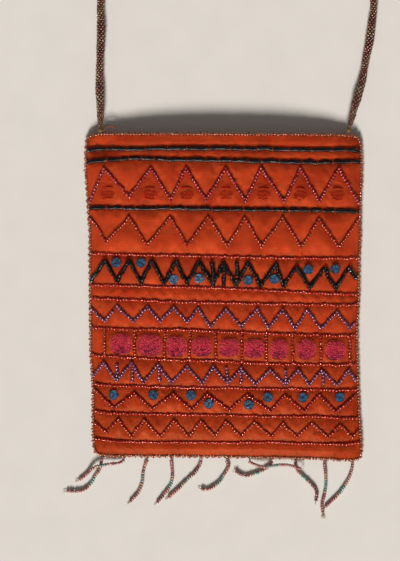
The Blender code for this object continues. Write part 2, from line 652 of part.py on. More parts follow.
def make_beadwork():
    for name, shares in ROW_SHARES.items():
        colour, roughness = ("0E0D10", 0.2) if name.startswith("black") else ("7C1410", 0.25)
        bead_row(name, row_stops(shares), material(name + "_glass", colour, roughness))
    ladder("ladder_rows", material("ladder_glass", "7C1410", 0.25))
    zigzags = (
        ("crimson_zigzag", CRIMSON_ZIGZAG_SHARES, (), "971A28"),
        ("copper_zigzag_upper", COPPER_ZIGZAG_UPPER_SHARES, (), "A8442C"),
        ("black_zigzag", BLACK_ZIGZAG_SHARES, BLACK_BAR_SHARES, "0E0D10"),
        ("violet_zigzag_upper", VIOLET_ZIGZAG_UPPER_SHARES, (), "6A3352"),
        ("violet_zigzag_lower", VIOLET_ZIGZAG_LOWER_SHARES, VIOLET_BAR_SHARES, "6A3352"),
        ("red_zigzag", RED_ZIGZAG_SHARES, (), "8C1A16"),
        ("copper_zigzag_lower", COPPER_ZIGZAG_LOWER_SHARES, (), "A8442C"))
    for name, stops, bars, colour in zigzags:
        glass = material(name + "_glass", colour, 0.25)
        made = bead_row(name, stops, glass)
        if bars:
            add_bars(made, bars, glass)
    edge_beading("edge_beading", material("amber_glass", "8A5240", 0.25))
    for number, centre in enumerate(SEQUIN_SHARES, start=1):
        name = "sequin_%02d" % number
        sequin(name, centre, material(name + "_foil", "22628E", 0.3))


def make_fringe():
    root_height = RIM_HEIGHT - RIM_BEAD_DROP
    roots = []
    strands = []
    for number, (across, stops) in enumerate(STRAND_SHARES, start=1):
        x, y = place(across, 1)
        root = Vector((x, y - RIM_BEAD_REACH, root_height))
        route = [root - Vector((0, STRAND_DIAMETER, 0))]
        for sideways, outward, lift in stops:
            height = STRAND_RADIUS + lift * STRAND_DIAMETER
            route.append((root.x + sideways * PANEL_WIDTH, root.y + outward * STRAND_REACH, height))
        name = "fringe_%02d" % number
        points = [root] + smooth_route(route, STRAND_STEP)
        glass = material(name + "_glass", "8C4A42", 0.3)
        roots.append(root)
        strands.append(tube(name, points, STRAND_RADIUS, 1, glass, STRAND_ROOT_SHARE))
    for number, group in enumerate(STRAND_GROUPS, start=1):
        outermost = min((roots[k - 1] for k in group), key=lambda root: root.y)
        axis = outermost - Vector((0, STRAND_RADIUS - LAYER_GAP, 0))
        hinge_at("fringe_hinge_%d" % number, axis, [strands[k - 1] for k in group])


def make_strap():
    hinge_y = PANEL_HEIGHT / 2 + RIM_BEAD_REACH + STRAP_NECK_DIAMETER / 2
    made = []
    ends = (("left", STRAP_LEFT_SHARE, STRAP_LEFT_LEAN_SHARE),
            ("right", STRAP_RIGHT_SHARE, STRAP_RIGHT_LEAN_SHARE))
    for side, across, lean in ends:
        base = Vector((place(across, 0)[0], hinge_y, STRAP_BASE_HEIGHT))
        exit_point = base + Vector((lean, math.sqrt(1 - lean ** 2), 0)) * STRAP_END_LENGTH
        exit_point.z = STRAP_EXIT_HEIGHT
        finish = material("binding_" + side, "6E4A36", 0.5)
        made.append(strap_end("strap_end_" + side, base, exit_point, finish))
    left = smooth_route(STRAP_LEFT_ROUTE, STRAP_STEP)
    coil = coil_points()
    right = smooth_route(STRAP_RIGHT_ROUTE, STRAP_STEP)
    stretches = (("left", left, 2), ("coil", coil, 1), ("right", right, 2))
    for name, points, resolution in stretches:
        finish = material("bead_rope_" + name, "7A5240", 0.4)
        made.append(tube("strap_" + name, points, STRAP_RADIUS, resolution, finish))
    hinge_at("strap_hinge", (0, hinge_y, STRAP_BASE_HEIGHT), made)
    total = sum(length_of(points) for name, points, resolution in stretches)
    gap = 1000 * least_gap(coil, STRAP_DIAMETER)
    print("strap length %.4f m, least gap in the coil %.2f mm" % (total, gap))


def make_thread_loop():
    middle = on_front(THREAD_LOOP_SHARE, 0)
    middle += Vector((0, RIM_BEAD_REACH, -RIM_BEAD_DROP))
    route = [middle + Vector(stop) * LOOP_SPAN for stop in THREAD_LOOP_SHARES]
    points = smooth_route(route, 2 * LOOP_THREAD_DIAMETER)
    tube("thread_loop", points, LOOP_THREAD_DIAMETER / 2, 1, material("red_thread", "5E2420", 0.8))


clear_scene()
make_pouch()
make_beadwork()
make_fringe()
make_strap()
make_thread_loop()
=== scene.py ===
import math

import bmesh
import bpy
import numpy as np
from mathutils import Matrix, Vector


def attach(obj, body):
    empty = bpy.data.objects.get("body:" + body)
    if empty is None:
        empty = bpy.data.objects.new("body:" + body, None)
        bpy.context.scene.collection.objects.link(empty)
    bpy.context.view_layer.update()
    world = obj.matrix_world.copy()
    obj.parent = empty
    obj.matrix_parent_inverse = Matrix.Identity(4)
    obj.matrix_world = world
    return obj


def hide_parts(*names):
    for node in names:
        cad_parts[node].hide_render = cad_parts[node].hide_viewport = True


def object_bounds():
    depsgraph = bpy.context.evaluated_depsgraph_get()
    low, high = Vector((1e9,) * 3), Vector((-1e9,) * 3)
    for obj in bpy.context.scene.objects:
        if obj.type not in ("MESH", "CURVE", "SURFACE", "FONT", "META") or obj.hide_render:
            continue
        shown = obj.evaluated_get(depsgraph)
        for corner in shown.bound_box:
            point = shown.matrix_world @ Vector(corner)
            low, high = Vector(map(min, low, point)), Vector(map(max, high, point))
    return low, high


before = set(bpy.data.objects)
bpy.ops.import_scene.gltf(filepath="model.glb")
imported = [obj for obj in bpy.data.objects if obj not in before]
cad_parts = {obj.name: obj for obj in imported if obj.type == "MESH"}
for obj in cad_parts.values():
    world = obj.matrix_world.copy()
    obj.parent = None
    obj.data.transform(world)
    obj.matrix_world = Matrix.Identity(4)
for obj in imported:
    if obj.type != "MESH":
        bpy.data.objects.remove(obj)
CAD_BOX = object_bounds()

# Looks of a beaded satin pouch that lies on its back, with a bead rope strap and a
# bead fringe. Metres. +X is across the pouch, +Y runs from the hem to the mouth.
UP = np.array([0, 0, 1.0])

# Pouch
PANEL_WIDTH = 0.1453
PANEL_HEIGHT = 0.1676
CLOTH_THICKNESS = 0.00040
INTERLINING_THICKNESS = 0.0006
LINING_THICKNESS = 0.00034
EDGE_LIFT = 0.0015
RIM_HEIGHT = 0.0028
CROWN_RISE = 0.0082

# How far each layer's middle lies under the satin's outer face, at the front
SATIN_DEPTH = CLOTH_THICKNESS / 2
INTERLINING_DEPTH = 0.00090
TURNING_DEPTH = 0.00160
LINING_DEPTH = 0.0021
BACK_LINING_RISE = 0.0009

# Turned-in edges at the mouth: share down the panel, and how far the cloth's middle lies
# under the front's outer face or over the back's own
FRONT_TURNING = (
    (0.045, TURNING_DEPTH), (0.030, TURNING_DEPTH), (0.016, TURNING_DEPTH),
    (0.0075, 0.00150), (0.0030, 0.00122), (0.0008, 0.00090), (0.0004, 0.00060),
    (0.0014, 0.00036))
BACK_TURNING = ((0.045, 0.00052), (0.016, 0.00052), (0.006, 0.00048), (0.0015, 0.00036))
FRONT_LIP_SHARE = 0.0034
BACK_LIP_SHARE = 0.003

# Unevenness of the cloths that lie underneath
CRUMPLE_RISE = 0.00010
CRUMPLE_STEP = 0.022
LINING_EASE = 0.00008
LINING_EASE_STEP = 0.014

# Quilting: how the satin swells between the rows and is drawn in at them
SWELL_RISE = 0.00075
SWELL_REACH = 0.0038
ROW_SINK = 0.00022
ROW_SINK_REACH = 0.0011
ZIGZAG_SWELL_RISE = 0.00040
ZIGZAG_SWELL_REACH = 0.0042
PUCKER_RISE = 0.00014
PUCKER_REACH = 0.0024
PUCKER_STEP = 0.0066
PUCKER_SWAY = 3
PUCKER_SWAY_STEP = 0.031
UNEVEN_RISE = 0.00013
UNEVEN_STEP = 0.017
RIM_FADE = 0.0030

# The strap's left end pulls the corner under it in
DENT_SHARES = (0.045, 0.030)
DENT_DEPTH = 0.0015
DENT_REACH = 0.0050

# Filling out the front: the grid is enlarged for the solver, and the cloth is cut a little
# larger than its place, so that the wadding lifts it and it puckers along the stitching
FILL_SCALE = 10.0
FILL_PRESSURE = 10.0
FILL_SPARE_SHARE = 0.024
FILL_BENDING = 8.0
FILL_FRAMES = 10
STITCH_HOLD = 0.0006
FILL_DIP = 0.00015
FILL_RISE = 0.0013
FILL_RIM_SHARE = 0.35
FILL_RIM_REACH = 0.014

# Beadwork
BEAD_DIAMETERS = {"plain": 0.00180, "black_glass": 0.00250, "black_zigzag": 0.00245,
                  "violet_glass": 0.00195, "crimson_glass": 0.00200, "copper_glass": 0.00192,
                  "red_zigzag": 0.00192}
BEAD_PITCH = 0.00158
BEAD_LENGTH = 0.00152
BEAD_SEAT_SHARE = 0.72
BEADS_PER_COUCHING = (4, 7)
COUCHING_ALLOWANCE = 0.00055
STRING_BOW = 0.00022
BEAD_THREAD_RADIUS = 0.00026
BEAD_SWAY = 0.00013
BEAD_UNEVEN = 0.00004
HEADING_STEP = 0.0004
EDGE_BEAD_DIAMETER = 0.00168
EDGE_BEAD_PITCH = 0.00158
EDGE_BEAD_OUT = 0.00040
EDGE_BEAD_DROP = 0.00012
EDGE_BEAD_SWAY = 0.00007
EDGE_SEAM_IN = 0.0004
PICOT_BEAD_DIAMETER = 0.00098
PICOT_OUT = 0.00114
PICOT_SWAY = 0.0001
WHIP_RADIUS = 0.00012
WHIP_LIFTS = (0.0006, 0.00085, 0.0001)

# Sequins, and each of their stitches as (reach from the middle, height over the foil)
SEQUIN_RADIUS = 0.00255
SEQUIN_HOLE = 0.00035
SEQUIN_THICKNESS = 0.00022
SEQUIN_EMBOSS = 0.00010
SEQUIN_SEAT = 0.00030
SEQUIN_STITCH_RADIUS = 0.00009
SEQUIN_STITCH = (
    (0, 0.0003), (0.0007, 0.0006), (0.0016, 0.00068), (0.0026, 0.0004), (0.0028, -0.0003))

# Silk rounds and sprigs: a stitch's heights over what it lies on, from end to end
PAD_RISE = 0.0005
PAD_RING_STEP = 0.00056
PAD_STITCH = 0.00125
PAD_STITCH_RADIUS = 0.00024
PAD_STITCH_LIFTS = np.array([-0.0002, 0.00012, 0.00026, 0.00012, -0.0002])
PAD_BASE_SINK = 0.0001
PAD_BASE_DEPTH = 0.0003
STITCH_RUN = np.array([-1, -0.6, 0, 0.6, 1])
BORDER_STITCH = 0.0017
BORDER_STITCH_RADIUS = 0.0002
BORDER_STITCH_LIFTS = np.array([-0.0001, 0.00012, 0.00016, 0.00012, -0.0001])
SPRIG_WIDTH = 0.0072
SPRIG_HEIGHT = 0.0050
SPRIG_SWAY = 0.0001
SPRIG_STITCH_RADIUS = 0.00018
SPRIG_ARCH_RADIUS = 0.00036
SPRIG_FOOT_RADIUS = 0.00028

# How much darker painted shade makes the satin at the hem
HEM_SHADE_SHARE = 0.34

# Fringe, and its knotted tails as (length, threads)
STRAND_DIAMETER = 0.0018
STRAND_REACH = 0.030
STRAND_PITCH = 0.00138
STRAND_STEP = 0.0004
STRAND_BEAD_SWAY = 0.00006
STRAND_THREAD_STEP = 0.0012
STRAND_THREAD_RADIUS = 0.0003
PLAIN_TAIL = (0.0018, 3)
TUFTS = {10: (0.0032, 12)}
TAIL_RADIUS = 0.00012
TAIL_LOWEST = 0.0002
RIM_BEAD_DROP = 0.00065
RIM_BEAD_REACH = 0.0022

# Strap
STRAP_DIAMETER = 0.0050
STRAP_END_LENGTH = 0.0080
STRAP_NECK_DIAMETER = 0.0030
STRAP_BASE_HEIGHT = 0.0050
STRAP_EXIT_HEIGHT = 0.0039
COIL_X = 0.0070
COIL_ENTRY_Y = 0.1740
COIL_MEAN_RADIUS = 0.0277
COIL_TURN_GAP = 0.0006
COIL_TURNS = 4
COIL_POINTS_PER_TURN = 24
ROPE_STRINGS = 6
ROPE_LAY = 0.0150
ROPE_BEAD_DIAMETER = 0.00150
ROPE_BEAD_PITCH = 0.00150
ROPE_BEAD_LENGTH = 0.00148
ROPE_BEAD_SHARE = 0.33
ROPE_END_SHARE = 0.88
ROPE_STEP = 0.0005
ROPE_CORE_RADIUS = 0.0011
ROPE_CORE_STEP = 0.003

# Lengths over which the rope's lay, thickness and colours come and go
ROPE_LAY_SWAY = 0.021
ROPE_LUMP = 0.031
ROPE_LUMP_START = 0.0033
ROPE_RIPPLE = 0.0017
ROPE_BAND = 0.0105
ROPE_BAND_SWAY = 0.037

# Thread wound round the strap's ends
BINDING_THREAD = 0.00052
BINDING_SINK = 0.00075
BINDING_SHADE_STEP = 0.0011
BARE_HEEL_SHARE = 1.2

# Thread loop above the mouth
LOOP_THREAD_DIAMETER = 0.00075
LOOP_SPAN = 0.0062
LOOP_STEP = 0.00012
LOOP_TWIST = 0.0011

# Shape of the panel, as shares of its width or height
LEFT_INSET_SHARES = (0, 0, 0.008, 0.016, 0.016, 0.016, 0.018, 0.019, 0.027, 0.027, 0.027)
RIGHT_INSET_SHARES = (
    0.004, 0.002, 0.007, 0.007, 0.012, 0.013, 0.019, 0.018, 0.0145, 0.010, -0.002)
HEM_DROP_SHARE = 0.0146
TOP_RISE_SHARES = (0.0069, 0.0065, 0.0060, 0.0050, 0.0045, 0.0040, 0.0038)
HEM_FALL_SHARES = (0.0094, 0.0079, 0.0063, 0.0056, 0.0047, 0.0063, 0.0120)
END_POWER = 24
CORNER_SHARE = 0.018
CORNER_POWER = 30
SIDE_PUFF_POWER = 2.6
SIDE_PUFF_ROUNDNESS = 0.7
HEM_PUFF_POWER = 6.8
MOUTH_PUFF_SHARE = 0.88
MOUTH_REACH_SHARE = 0.35
RIM_ROLL_SHARE = 0.04

# Straight rows: share of the height, at seven even places from side to side
ROW_END_SHARE = 0.003
ROW_SHARES = {
    "black_row_1": (0.041, 0.043, 0.040, 0.0405, 0.0427, 0.0443, 0.042),
    "black_row_2": (0.078, 0.0706, 0.075, 0.0776, 0.0793, 0.083, 0.077),
    "black_row_3": (0.2227, 0.2283, 0.227, 0.230, 0.2305, 0.232, 0.2333),
    "red_row_1": (0.3706, 0.3746, 0.3756, 0.3776, 0.3808, 0.3815, 0.380),
    "red_row_2": (0.471, 0.472, 0.475, 0.478, 0.483, 0.490, 0.493),
    "red_row_3": (0.513, 0.5166, 0.5225, 0.5245, 0.5253, 0.5262, 0.527),
    "red_row_4": (0.788, 0.790, 0.793, 0.791, 0.792, 0.792, 0.795),
    "red_row_5": (0.875, 0.877, 0.8766, 0.877, 0.879, 0.875, 0.885),
    "red_row_6": (0.960, 0.964, 0.9624, 0.961, 0.9578, 0.961, 0.958),
}
LADDER_TOP_SHARES = (0.608, 0.609, 0.609, 0.614, 0.618, 0.621, 0.623)
LADDER_FOOT_SHARES = (0.694, 0.701, 0.706, 0.707, 0.713, 0.714, 0.714)
LADDER_BAR_SHARES = (0.048, 0.163, 0.276, 0.370, 0.467, 0.567, 0.659, 0.756, 0.862, 0.973)

# Zigzags: turning points as (share across, share down), and short bars beside them
ZIGZAG_SHARES = {
    "crimson_zigzag": (
        (0.003, 0.2000), (0.065, 0.1010), (0.151, 0.1900), (0.236, 0.1010), (0.304, 0.2020),
        (0.363, 0.1010), (0.433, 0.2020), (0.508, 0.1010), (0.577, 0.2040), (0.635, 0.1010),
        (0.720, 0.2040), (0.777, 0.1000), (0.849, 0.2030), (0.919, 0.1000), (0.997, 0.2110)),
    "copper_zigzag_upper": (
        (0.003, 0.2560), (0.056, 0.3350), (0.146, 0.2550), (0.210, 0.3430), (0.298, 0.2550),
        (0.359, 0.3430), (0.438, 0.2540), (0.508, 0.3450), (0.573, 0.2570), (0.634, 0.3470),
        (0.712, 0.2560), (0.783, 0.3470), (0.847, 0.2590), (0.924, 0.3490), (0.997, 0.2510)),
    "black_zigzag": (
        (0.003, 0.4559), (0.054, 0.3931), (0.099, 0.4573), (0.143, 0.3925), (0.188, 0.4607),
        (0.229, 0.3929), (0.274, 0.4621), (0.319, 0.3933), (0.360, 0.4635), (0.404, 0.3947),
        (0.457, 0.4649), (0.494, 0.3981), (0.543, 0.4663), (0.587, 0.3965), (0.633, 0.4687),
        (0.692, 0.4009), (0.719, 0.4680), (0.768, 0.4103), (0.816, 0.4735), (0.878, 0.4107),
        (0.888, 0.4428), (0.916, 0.4749), (0.964, 0.4101), (0.997, 0.4473)),
    "violet_zigzag_upper": (
        (0.003, 0.549), (0.051, 0.584), (0.098, 0.536), (0.158, 0.584), (0.211, 0.537),
        (0.260, 0.582), (0.312, 0.538), (0.361, 0.584), (0.402, 0.540), (0.448, 0.598),
        (0.507, 0.543), (0.564, 0.598), (0.623, 0.542), (0.668, 0.600), (0.717, 0.543),
        (0.768, 0.601), (0.810, 0.543), (0.864, 0.600), (0.923, 0.548), (0.975, 0.600),
        (0.996, 0.580)),
    "violet_zigzag_lower": (
        (0.003, 0.762), (0.046, 0.716), (0.087, 0.773), (0.152, 0.715), (0.189, 0.776),
        (0.249, 0.721), (0.295, 0.777), (0.359, 0.723), (0.412, 0.778), (0.457, 0.723),
        (0.510, 0.776), (0.562, 0.726), (0.612, 0.778), (0.671, 0.731), (0.725, 0.777),
        (0.777, 0.731), (0.816, 0.778), (0.865, 0.731), (0.922, 0.776), (0.969, 0.731),
        (0.996, 0.772)),
    "red_zigzag": (
        (0.003, 0.8055), (0.077, 0.8585), (0.153, 0.8105), (0.221, 0.8605), (0.300, 0.8115),
        (0.371, 0.8595), (0.429, 0.8115), (0.513, 0.8595), (0.580, 0.8105), (0.667, 0.8615),
        (0.724, 0.8105), (0.794, 0.8605), (0.854, 0.8095), (0.915, 0.8595), (0.996, 0.8095)),
    "copper_zigzag_lower": (
        (0.006, 0.915), (0.050, 0.936), (0.092, 0.896), (0.142, 0.947), (0.190, 0.895),
        (0.249, 0.946), (0.303, 0.895), (0.357, 0.944), (0.405, 0.895), (0.455, 0.943),
        (0.499, 0.895), (0.552, 0.941), (0.604, 0.897), (0.665, 0.940), (0.713, 0.899),
        (0.762, 0.939), (0.823, 0.897), (0.879, 0.939), (0.928, 0.902), (0.972, 0.940),
        (0.996, 0.919)),
}
BAR_SHARES = {
    "black_zigzag": (
        ((0.452, 0.394), (0.456, 0.463)),
        ((0.496, 0.402), (0.497, 0.468)),
        ((0.545, 0.394), (0.544, 0.464))),
    "violet_zigzag_lower": (
        ((0.095, 0.719), (0.088, 0.771)),
        ((0.152, 0.717), (0.146, 0.776)),
        ((0.250, 0.724), (0.253, 0.773)),
        ((0.506, 0.722), (0.510, 0.774)),
        ((0.562, 0.728), (0.559, 0.776)),
        ((0.728, 0.729), (0.726, 0.774)),
        ((0.866, 0.733), (0.870, 0.776))),
}

# Places of sequins, silk rounds and small stitched sprigs
SEQUIN_SHARES = (
    (0.095, 0.399), (0.188, 0.399), (0.311, 0.451), (0.405, 0.447),
    (0.587, 0.452), (0.685, 0.448), (0.811, 0.417), (0.913, 0.414),
    (0.075, 0.818), (0.225, 0.816), (0.368, 0.815), (0.435, 0.841),
    (0.586, 0.842), (0.658, 0.818), (0.792, 0.817), (0.931, 0.815))
PAD_SHARES = (
    (0.112, 0.656), (0.221, 0.658), (0.321, 0.662), (0.417, 0.662), (0.519, 0.663),
    (0.613, 0.665), (0.707, 0.667), (0.809, 0.666), (0.918, 0.669))
PAD_SIZES = (
    (0.0112, 0.0106), (0.0126, 0.0112), (0.0104, 0.0108), (0.0106, 0.0098), (0.0108, 0.0094),
    (0.0108, 0.0096), (0.0094, 0.0104), (0.0098, 0.0106), (0.0106, 0.0100))
SPRIG_SHARES = (
    (0.072, 0.181), (0.230, 0.181), (0.364, 0.181), (0.507, 0.181), (0.645, 0.181),
    (0.779, 0.181), (0.917, 0.181))

# Fringe: share across the hem of each root, then its stops from there as shares of the
# panel's width (sideways), the reach (outward) and its own diameter (over lying flat)
STRAND_SHARES = (
    (0.019, ((-0.002, -0.16, 0), (-0.006, -0.25, 0), (-0.025, -0.39, 0), (-0.039, -0.51, 0),
             (-0.072, -0.63, 0), (-0.128, -0.64, 0))),
    (0.106, ((-0.017, -0.11, 0.7), (-0.047, -0.13, 0.95), (-0.087, -0.16, 1.3),
             (-0.116, -0.21, 0.85), (-0.138, -0.32, 0.05), (-0.167, -0.43, 0))),
    (0.193, ((-0.008, -0.15, 0), (-0.017, -0.33, 0), (-0.019, -0.47, 0), (-0.035, -0.65, 0),
             (-0.064, -0.80, 0))),
    (0.284, ((0.002, -0.17, 0), (0.004, -0.28, 0), (0.002, -0.42, 0), (-0.010, -0.56, 0),
             (-0.052, -0.81, 0))),
    (0.398, ((-0.006, -0.14, 0), (-0.023, -0.27, 0), (-0.052, -0.40, 0), (-0.083, -0.55, 0),
             (-0.120, -0.71, 0))),
    (0.496, ((0.006, -0.16, 0), (-0.008, -0.28, 0), (-0.029, -0.43, 0), (-0.054, -0.52, 0),
             (-0.076, -0.56, 0), (-0.095, -0.54, 0))),
    (0.583, ((0.023, -0.11, 1.05), (0.056, -0.15, 1.5), (0.076, -0.13, 1.55),
             (0.109, -0.11, 1.35), (0.138, -0.11, 1.4), (0.163, -0.14, 1.55),
             (0.186, -0.18, 1.3))),
    (0.667, ((-0.010, -0.13, 0.1), (-0.029, -0.19, 0), (-0.054, -0.25, 0),
             (-0.091, -0.30, 0), (-0.116, -0.27, 0), (-0.132, -0.21, 0))),
    (0.757, ((0.002, -0.15, 0), (0.012, -0.23, 0), (0.047, -0.39, 0), (0.070, -0.51, 0),
             (0.078, -0.63, 0), (0.074, -0.74, 0))),
    (0.866, ((0.004, -0.17, 0), (0.006, -0.32, 0), (0.006, -0.47, 0), (0, -0.64, 0),
             (-0.008, -0.80, 0), (-0.004, -0.94, 0))),
    (0.974, ((-0.002, -0.17, 0), (-0.008, -0.27, 0), (-0.019, -0.39, 0), (-0.047, -0.59, 0),
             (-0.078, -0.74, 0), (-0.099, -0.84, 0))),
)
STRAND_GROUPS = ((1, 2), (3,), (4, 5), (6,), (7, 8, 9), (10, 11))

# Route of the strap where it isn't coiled, in metres
STRAP_LEFT_ROUTE = (
    (-0.0653, 0.0958, 0.0039), (-0.0653, 0.1008, 0.0039), (-0.0656, 0.1080, 0.0028),
    (-0.0658, 0.1150, 0.0025), (-0.0655, 0.1250, 0.0025), (-0.0649, 0.1400, 0.0025),
    (-0.0652, 0.1530, 0.0025), (-0.0636, 0.1630, 0.0025), (-0.0575, 0.1705, 0.0025),
    (-0.0470, 0.1738, 0.0025), (-0.0300, 0.1742, 0.0025), (-0.0150, 0.1740, 0.0025),
    (-0.0033, 0.1740, 0.0025), (0.0017, 0.1740, 0.0025))
STRAP_RIGHT_ROUTE = (
    (0.0123, 0.1740, 0.0081), (0.0173, 0.1740, 0.0081), (0.0250, 0.1740, 0.0072),
    (0.0340, 0.1740, 0.0046), (0.0420, 0.1741, 0.0028), (0.0500, 0.1742, 0.0025),
    (0.0620, 0.1733, 0.0025), (0.0715, 0.1695, 0.0025), (0.0775, 0.1620, 0.0025),
    (0.0793, 0.1540, 0.0025), (0.0782, 0.1440, 0.0025), (0.0770, 0.1345, 0.0025),
    (0.0750, 0.1244, 0.0025), (0.0732, 0.1140, 0.0025), (0.0712, 0.1070, 0.0031),
    (0.0693, 0.1006, 0.0039), (0.0680, 0.0956, 0.0039))
STRAP_LEFT_SHARE = 0.0425
STRAP_RIGHT_SHARE = 0.966
STRAP_RIGHT_LEAN_SHARE = 0.25
HEEL_SHARES = ((-1, 0.1), (-0.85, 0.53), (-0.5, 0.87), (0, 1))
BINDING_SHARES = ((0.30, 0.12), (0.55, 0.45), (0.80, 0.88), (0.94, 1), (1, 1))
LEVEL_SHARE = 0.8

# Thread loop: share across the mouth of its middle, then its stops as shares of its span
THREAD_LOOP_SHARE = 0.079
THREAD_LOOP_SHARES = (
    (-0.50, 0, -0.08), (-0.47, 0.11, -0.08), (-0.27, 0.31, -0.11), (0.02, 0.39, -0.14),
    (0.29, 0.32, -0.14), (0.47, 0.13, -0.05), (0.50, 0.02, -0.01))

# Camera: straight above, the middle and height of what it takes in
VIEW_X = -0.01265
VIEW_Y = 0.00796
VIEW_HEIGHT = 0.29565
VIEW_LEVEL = 0.008
LENS = 200.0
SENSOR = 36.0

# Floor
FLOOR_REACH = 3.0
FLOOR_GAP = 0.0001

# Counts
CLOTH_COLUMNS = 190
CLOTH_ROWS = 250
BEAD_SIDES = 8
SEQUIN_FACETS = 14
BINDING_RINGS = 120
BINDING_SIDES = 16
ROUTE_STEPS = 16
SEED = 7


# Materials

def linear(hex_colour):
    """An sRGB hex colour as linear light, with full alpha."""
    channels = [int(hex_colour[k:k + 2], 16) / 255 for k in (0, 2, 4)]
    return [c / 12.92 if c <= 0.04045 else ((c + 0.055) / 1.055) ** 2.4 for c in channels] + [1.0]


def add_node(material, kind, sockets, **settings):
    """One shader node. A socket takes a value, an output, or a node, for its first output."""
    tree = material.node_tree
    node = tree.nodes.new("ShaderNode" + kind)
    for name, value in settings.items():
        setattr(node, name, value)
    for name, value in sockets.items():
        if isinstance(value, bpy.types.Node):
            value = next(output for output in value.outputs if output.enabled)
        if isinstance(value, bpy.types.NodeSocket):
            tree.links.new(value, node.inputs[name])
        else:
            node.inputs[name].default_value = value
    return node


def new_material(name):
    material = bpy.data.materials.new(name)
    material.use_nodes = True
    material.node_tree.nodes.remove(material.node_tree.nodes["Principled BSDF"])
    return material


def finish_material(material, sockets, **settings):
    """The shader that ends a material; what is the same all over is set on it directly."""
    shader = add_node(material, "BsdfPrincipled", sockets, **settings)
    output = material.node_tree.nodes["Material Output"]
    material.node_tree.links.new(shader.outputs["BSDF"], output.inputs["Surface"])
    return material


def satin(name, dark, light):
    """Silk satin, woven with long warp floats: a soft glow that runs across the threads."""
    material = new_material(name)
    on_cloth = add_node(material, "UVMap", {}, uv_map="cloth")
    # Slubs: threads 0.15 mm thick, drawn 0.7 mm apart and 12 mm long so that they show
    slub_grid = add_node(material, "Mapping", {"Vector": on_cloth, "Scale": (85, 1400, 1)})
    slubs = add_node(material, "TexNoise", {
        "Vector": slub_grid, "Scale": 1.0, "Detail": 3.0, "Roughness": 0.6})
    warp_grid = add_node(material, "Mapping", {"Vector": on_cloth, "Scale": (1900, 120, 1)})
    warp = add_node(material, "TexNoise", {
        "Vector": warp_grid, "Scale": 1.0, "Detail": 2.0, "Roughness": 0.5})
    # Wear: patches about 12 mm across
    patches = add_node(material, "TexNoise", {
        "Vector": on_cloth, "Scale": 80.0, "Detail": 2.0, "Roughness": 0.5})
    tone = add_node(material, "Math", {0: slubs, 1: 0.35, 2: patches}, operation="MULTIPLY_ADD")
    share = add_node(material, "MapRange", {"Value": tone, "From Min": 0.36, "From Max": 1.0})
    colour = add_node(material, "Mix", {
        "Factor": share, 6: linear(dark), 7: linear(light)}, data_type="RGBA")
    # Painted shade: darker towards the hem, to take down the light that the hem's slope catches from
    # the lamp
    down_cloth = add_node(material, "SeparateXYZ", {"Vector": on_cloth}).outputs["Y"]
    painted_hem_shade = add_node(material, "MapRange", {
        "Value": down_cloth, "From Min": 0.105, "From Max": 0.170, "To Max": HEM_SHADE_SHARE})
    hem_shaded_colour = add_node(material, "Mix", {
        "Factor": painted_hem_shade, 6: colour, 7: linear("5A2404")}, data_type="RGBA")
    threads = add_node(material, "Math", {0: slubs, 1: warp}, operation="ADD")
    bump = add_node(material, "Bump", {"Height": threads, "Strength": 0.25, "Distance": 0.0001})
    roughness = add_node(material, "MapRange", {"Value": warp, "To Min": 0.42, "To Max": 0.55})
    tangent = add_node(material, "Tangent", {}, direction_type="UV_MAP", uv_map="cloth")
    return finish_material(material, {
        "Base Color": hem_shaded_colour, "Roughness": roughness, "IOR": 1.50,
        "Specular IOR Level": 0.20, "Specular Tint": linear("FFA070"),
        "Subsurface Weight": 1.0, "Subsurface Radius": (1.0, 0.14, 0.07),
        "Subsurface Scale": 0.0034, "Anisotropic": 0.6, "Tangent": tangent,
        "Sheen Weight": 0.05, "Sheen Roughness": 0.35, "Sheen Tint": linear("FF8A50"),
        "Normal": bump}, subsurface_method="BURLEY")


def plain_weave(name, dark, light, thread_spacing):
    """Cotton or stiffened linen, plain woven: dull, with crossed threads."""
    material = new_material(name)
    on_cloth = add_node(material, "UVMap", {}, uv_map="cloth")
    turns = 1 / (2 * thread_spacing)
    grid = add_node(material, "Mapping", {"Vector": on_cloth, "Scale": (turns, turns, 1)})
    threads = add_node(material, "TexChecker", {
        "Vector": grid, "Scale": 2.0, "Color1": (1, 1, 1, 1),
        "Color2": (0.2, 0.2, 0.2, 1)}).outputs["Fac"]
    fuzz = add_node(material, "TexNoise", {
        "Vector": on_cloth, "Scale": 350.0, "Detail": 5.0, "Roughness": 0.7})
    colour = add_node(material, "Mix", {
        "Factor": fuzz, 6: linear(dark), 7: linear(light)}, data_type="RGBA")
    height = add_node(material, "Math", {0: threads, 1: fuzz}, operation="ADD")
    bump = add_node(material, "Bump", {"Height": height, "Strength": 0.5, "Distance": 0.0001})
    return finish_material(material, {
        "Base Color": colour, "Roughness": 0.88, "Sheen Weight": 0.3, "Sheen Roughness": 0.5,
        "Normal": bump})


def tint_of(material):
    """The tint that each small shape of a pile has."""
    return add_node(material, "Attribute", {}, attribute_name="tint").outputs["Fac"]


def dyed_by_tint(material, stops):
    """A colour for each small shape, which its tint picks from a row of stops."""
    ramp = add_node(material, "ValToRGB", {"Fac": tint_of(material)})
    elements = ramp.color_ramp.elements
    while len(elements) < len(stops):
        elements.new(1.0)
    for element, (share, hex_colour) in zip(elements, stops):
        element.position = share
        element.color = linear(hex_colour)
    return ramp


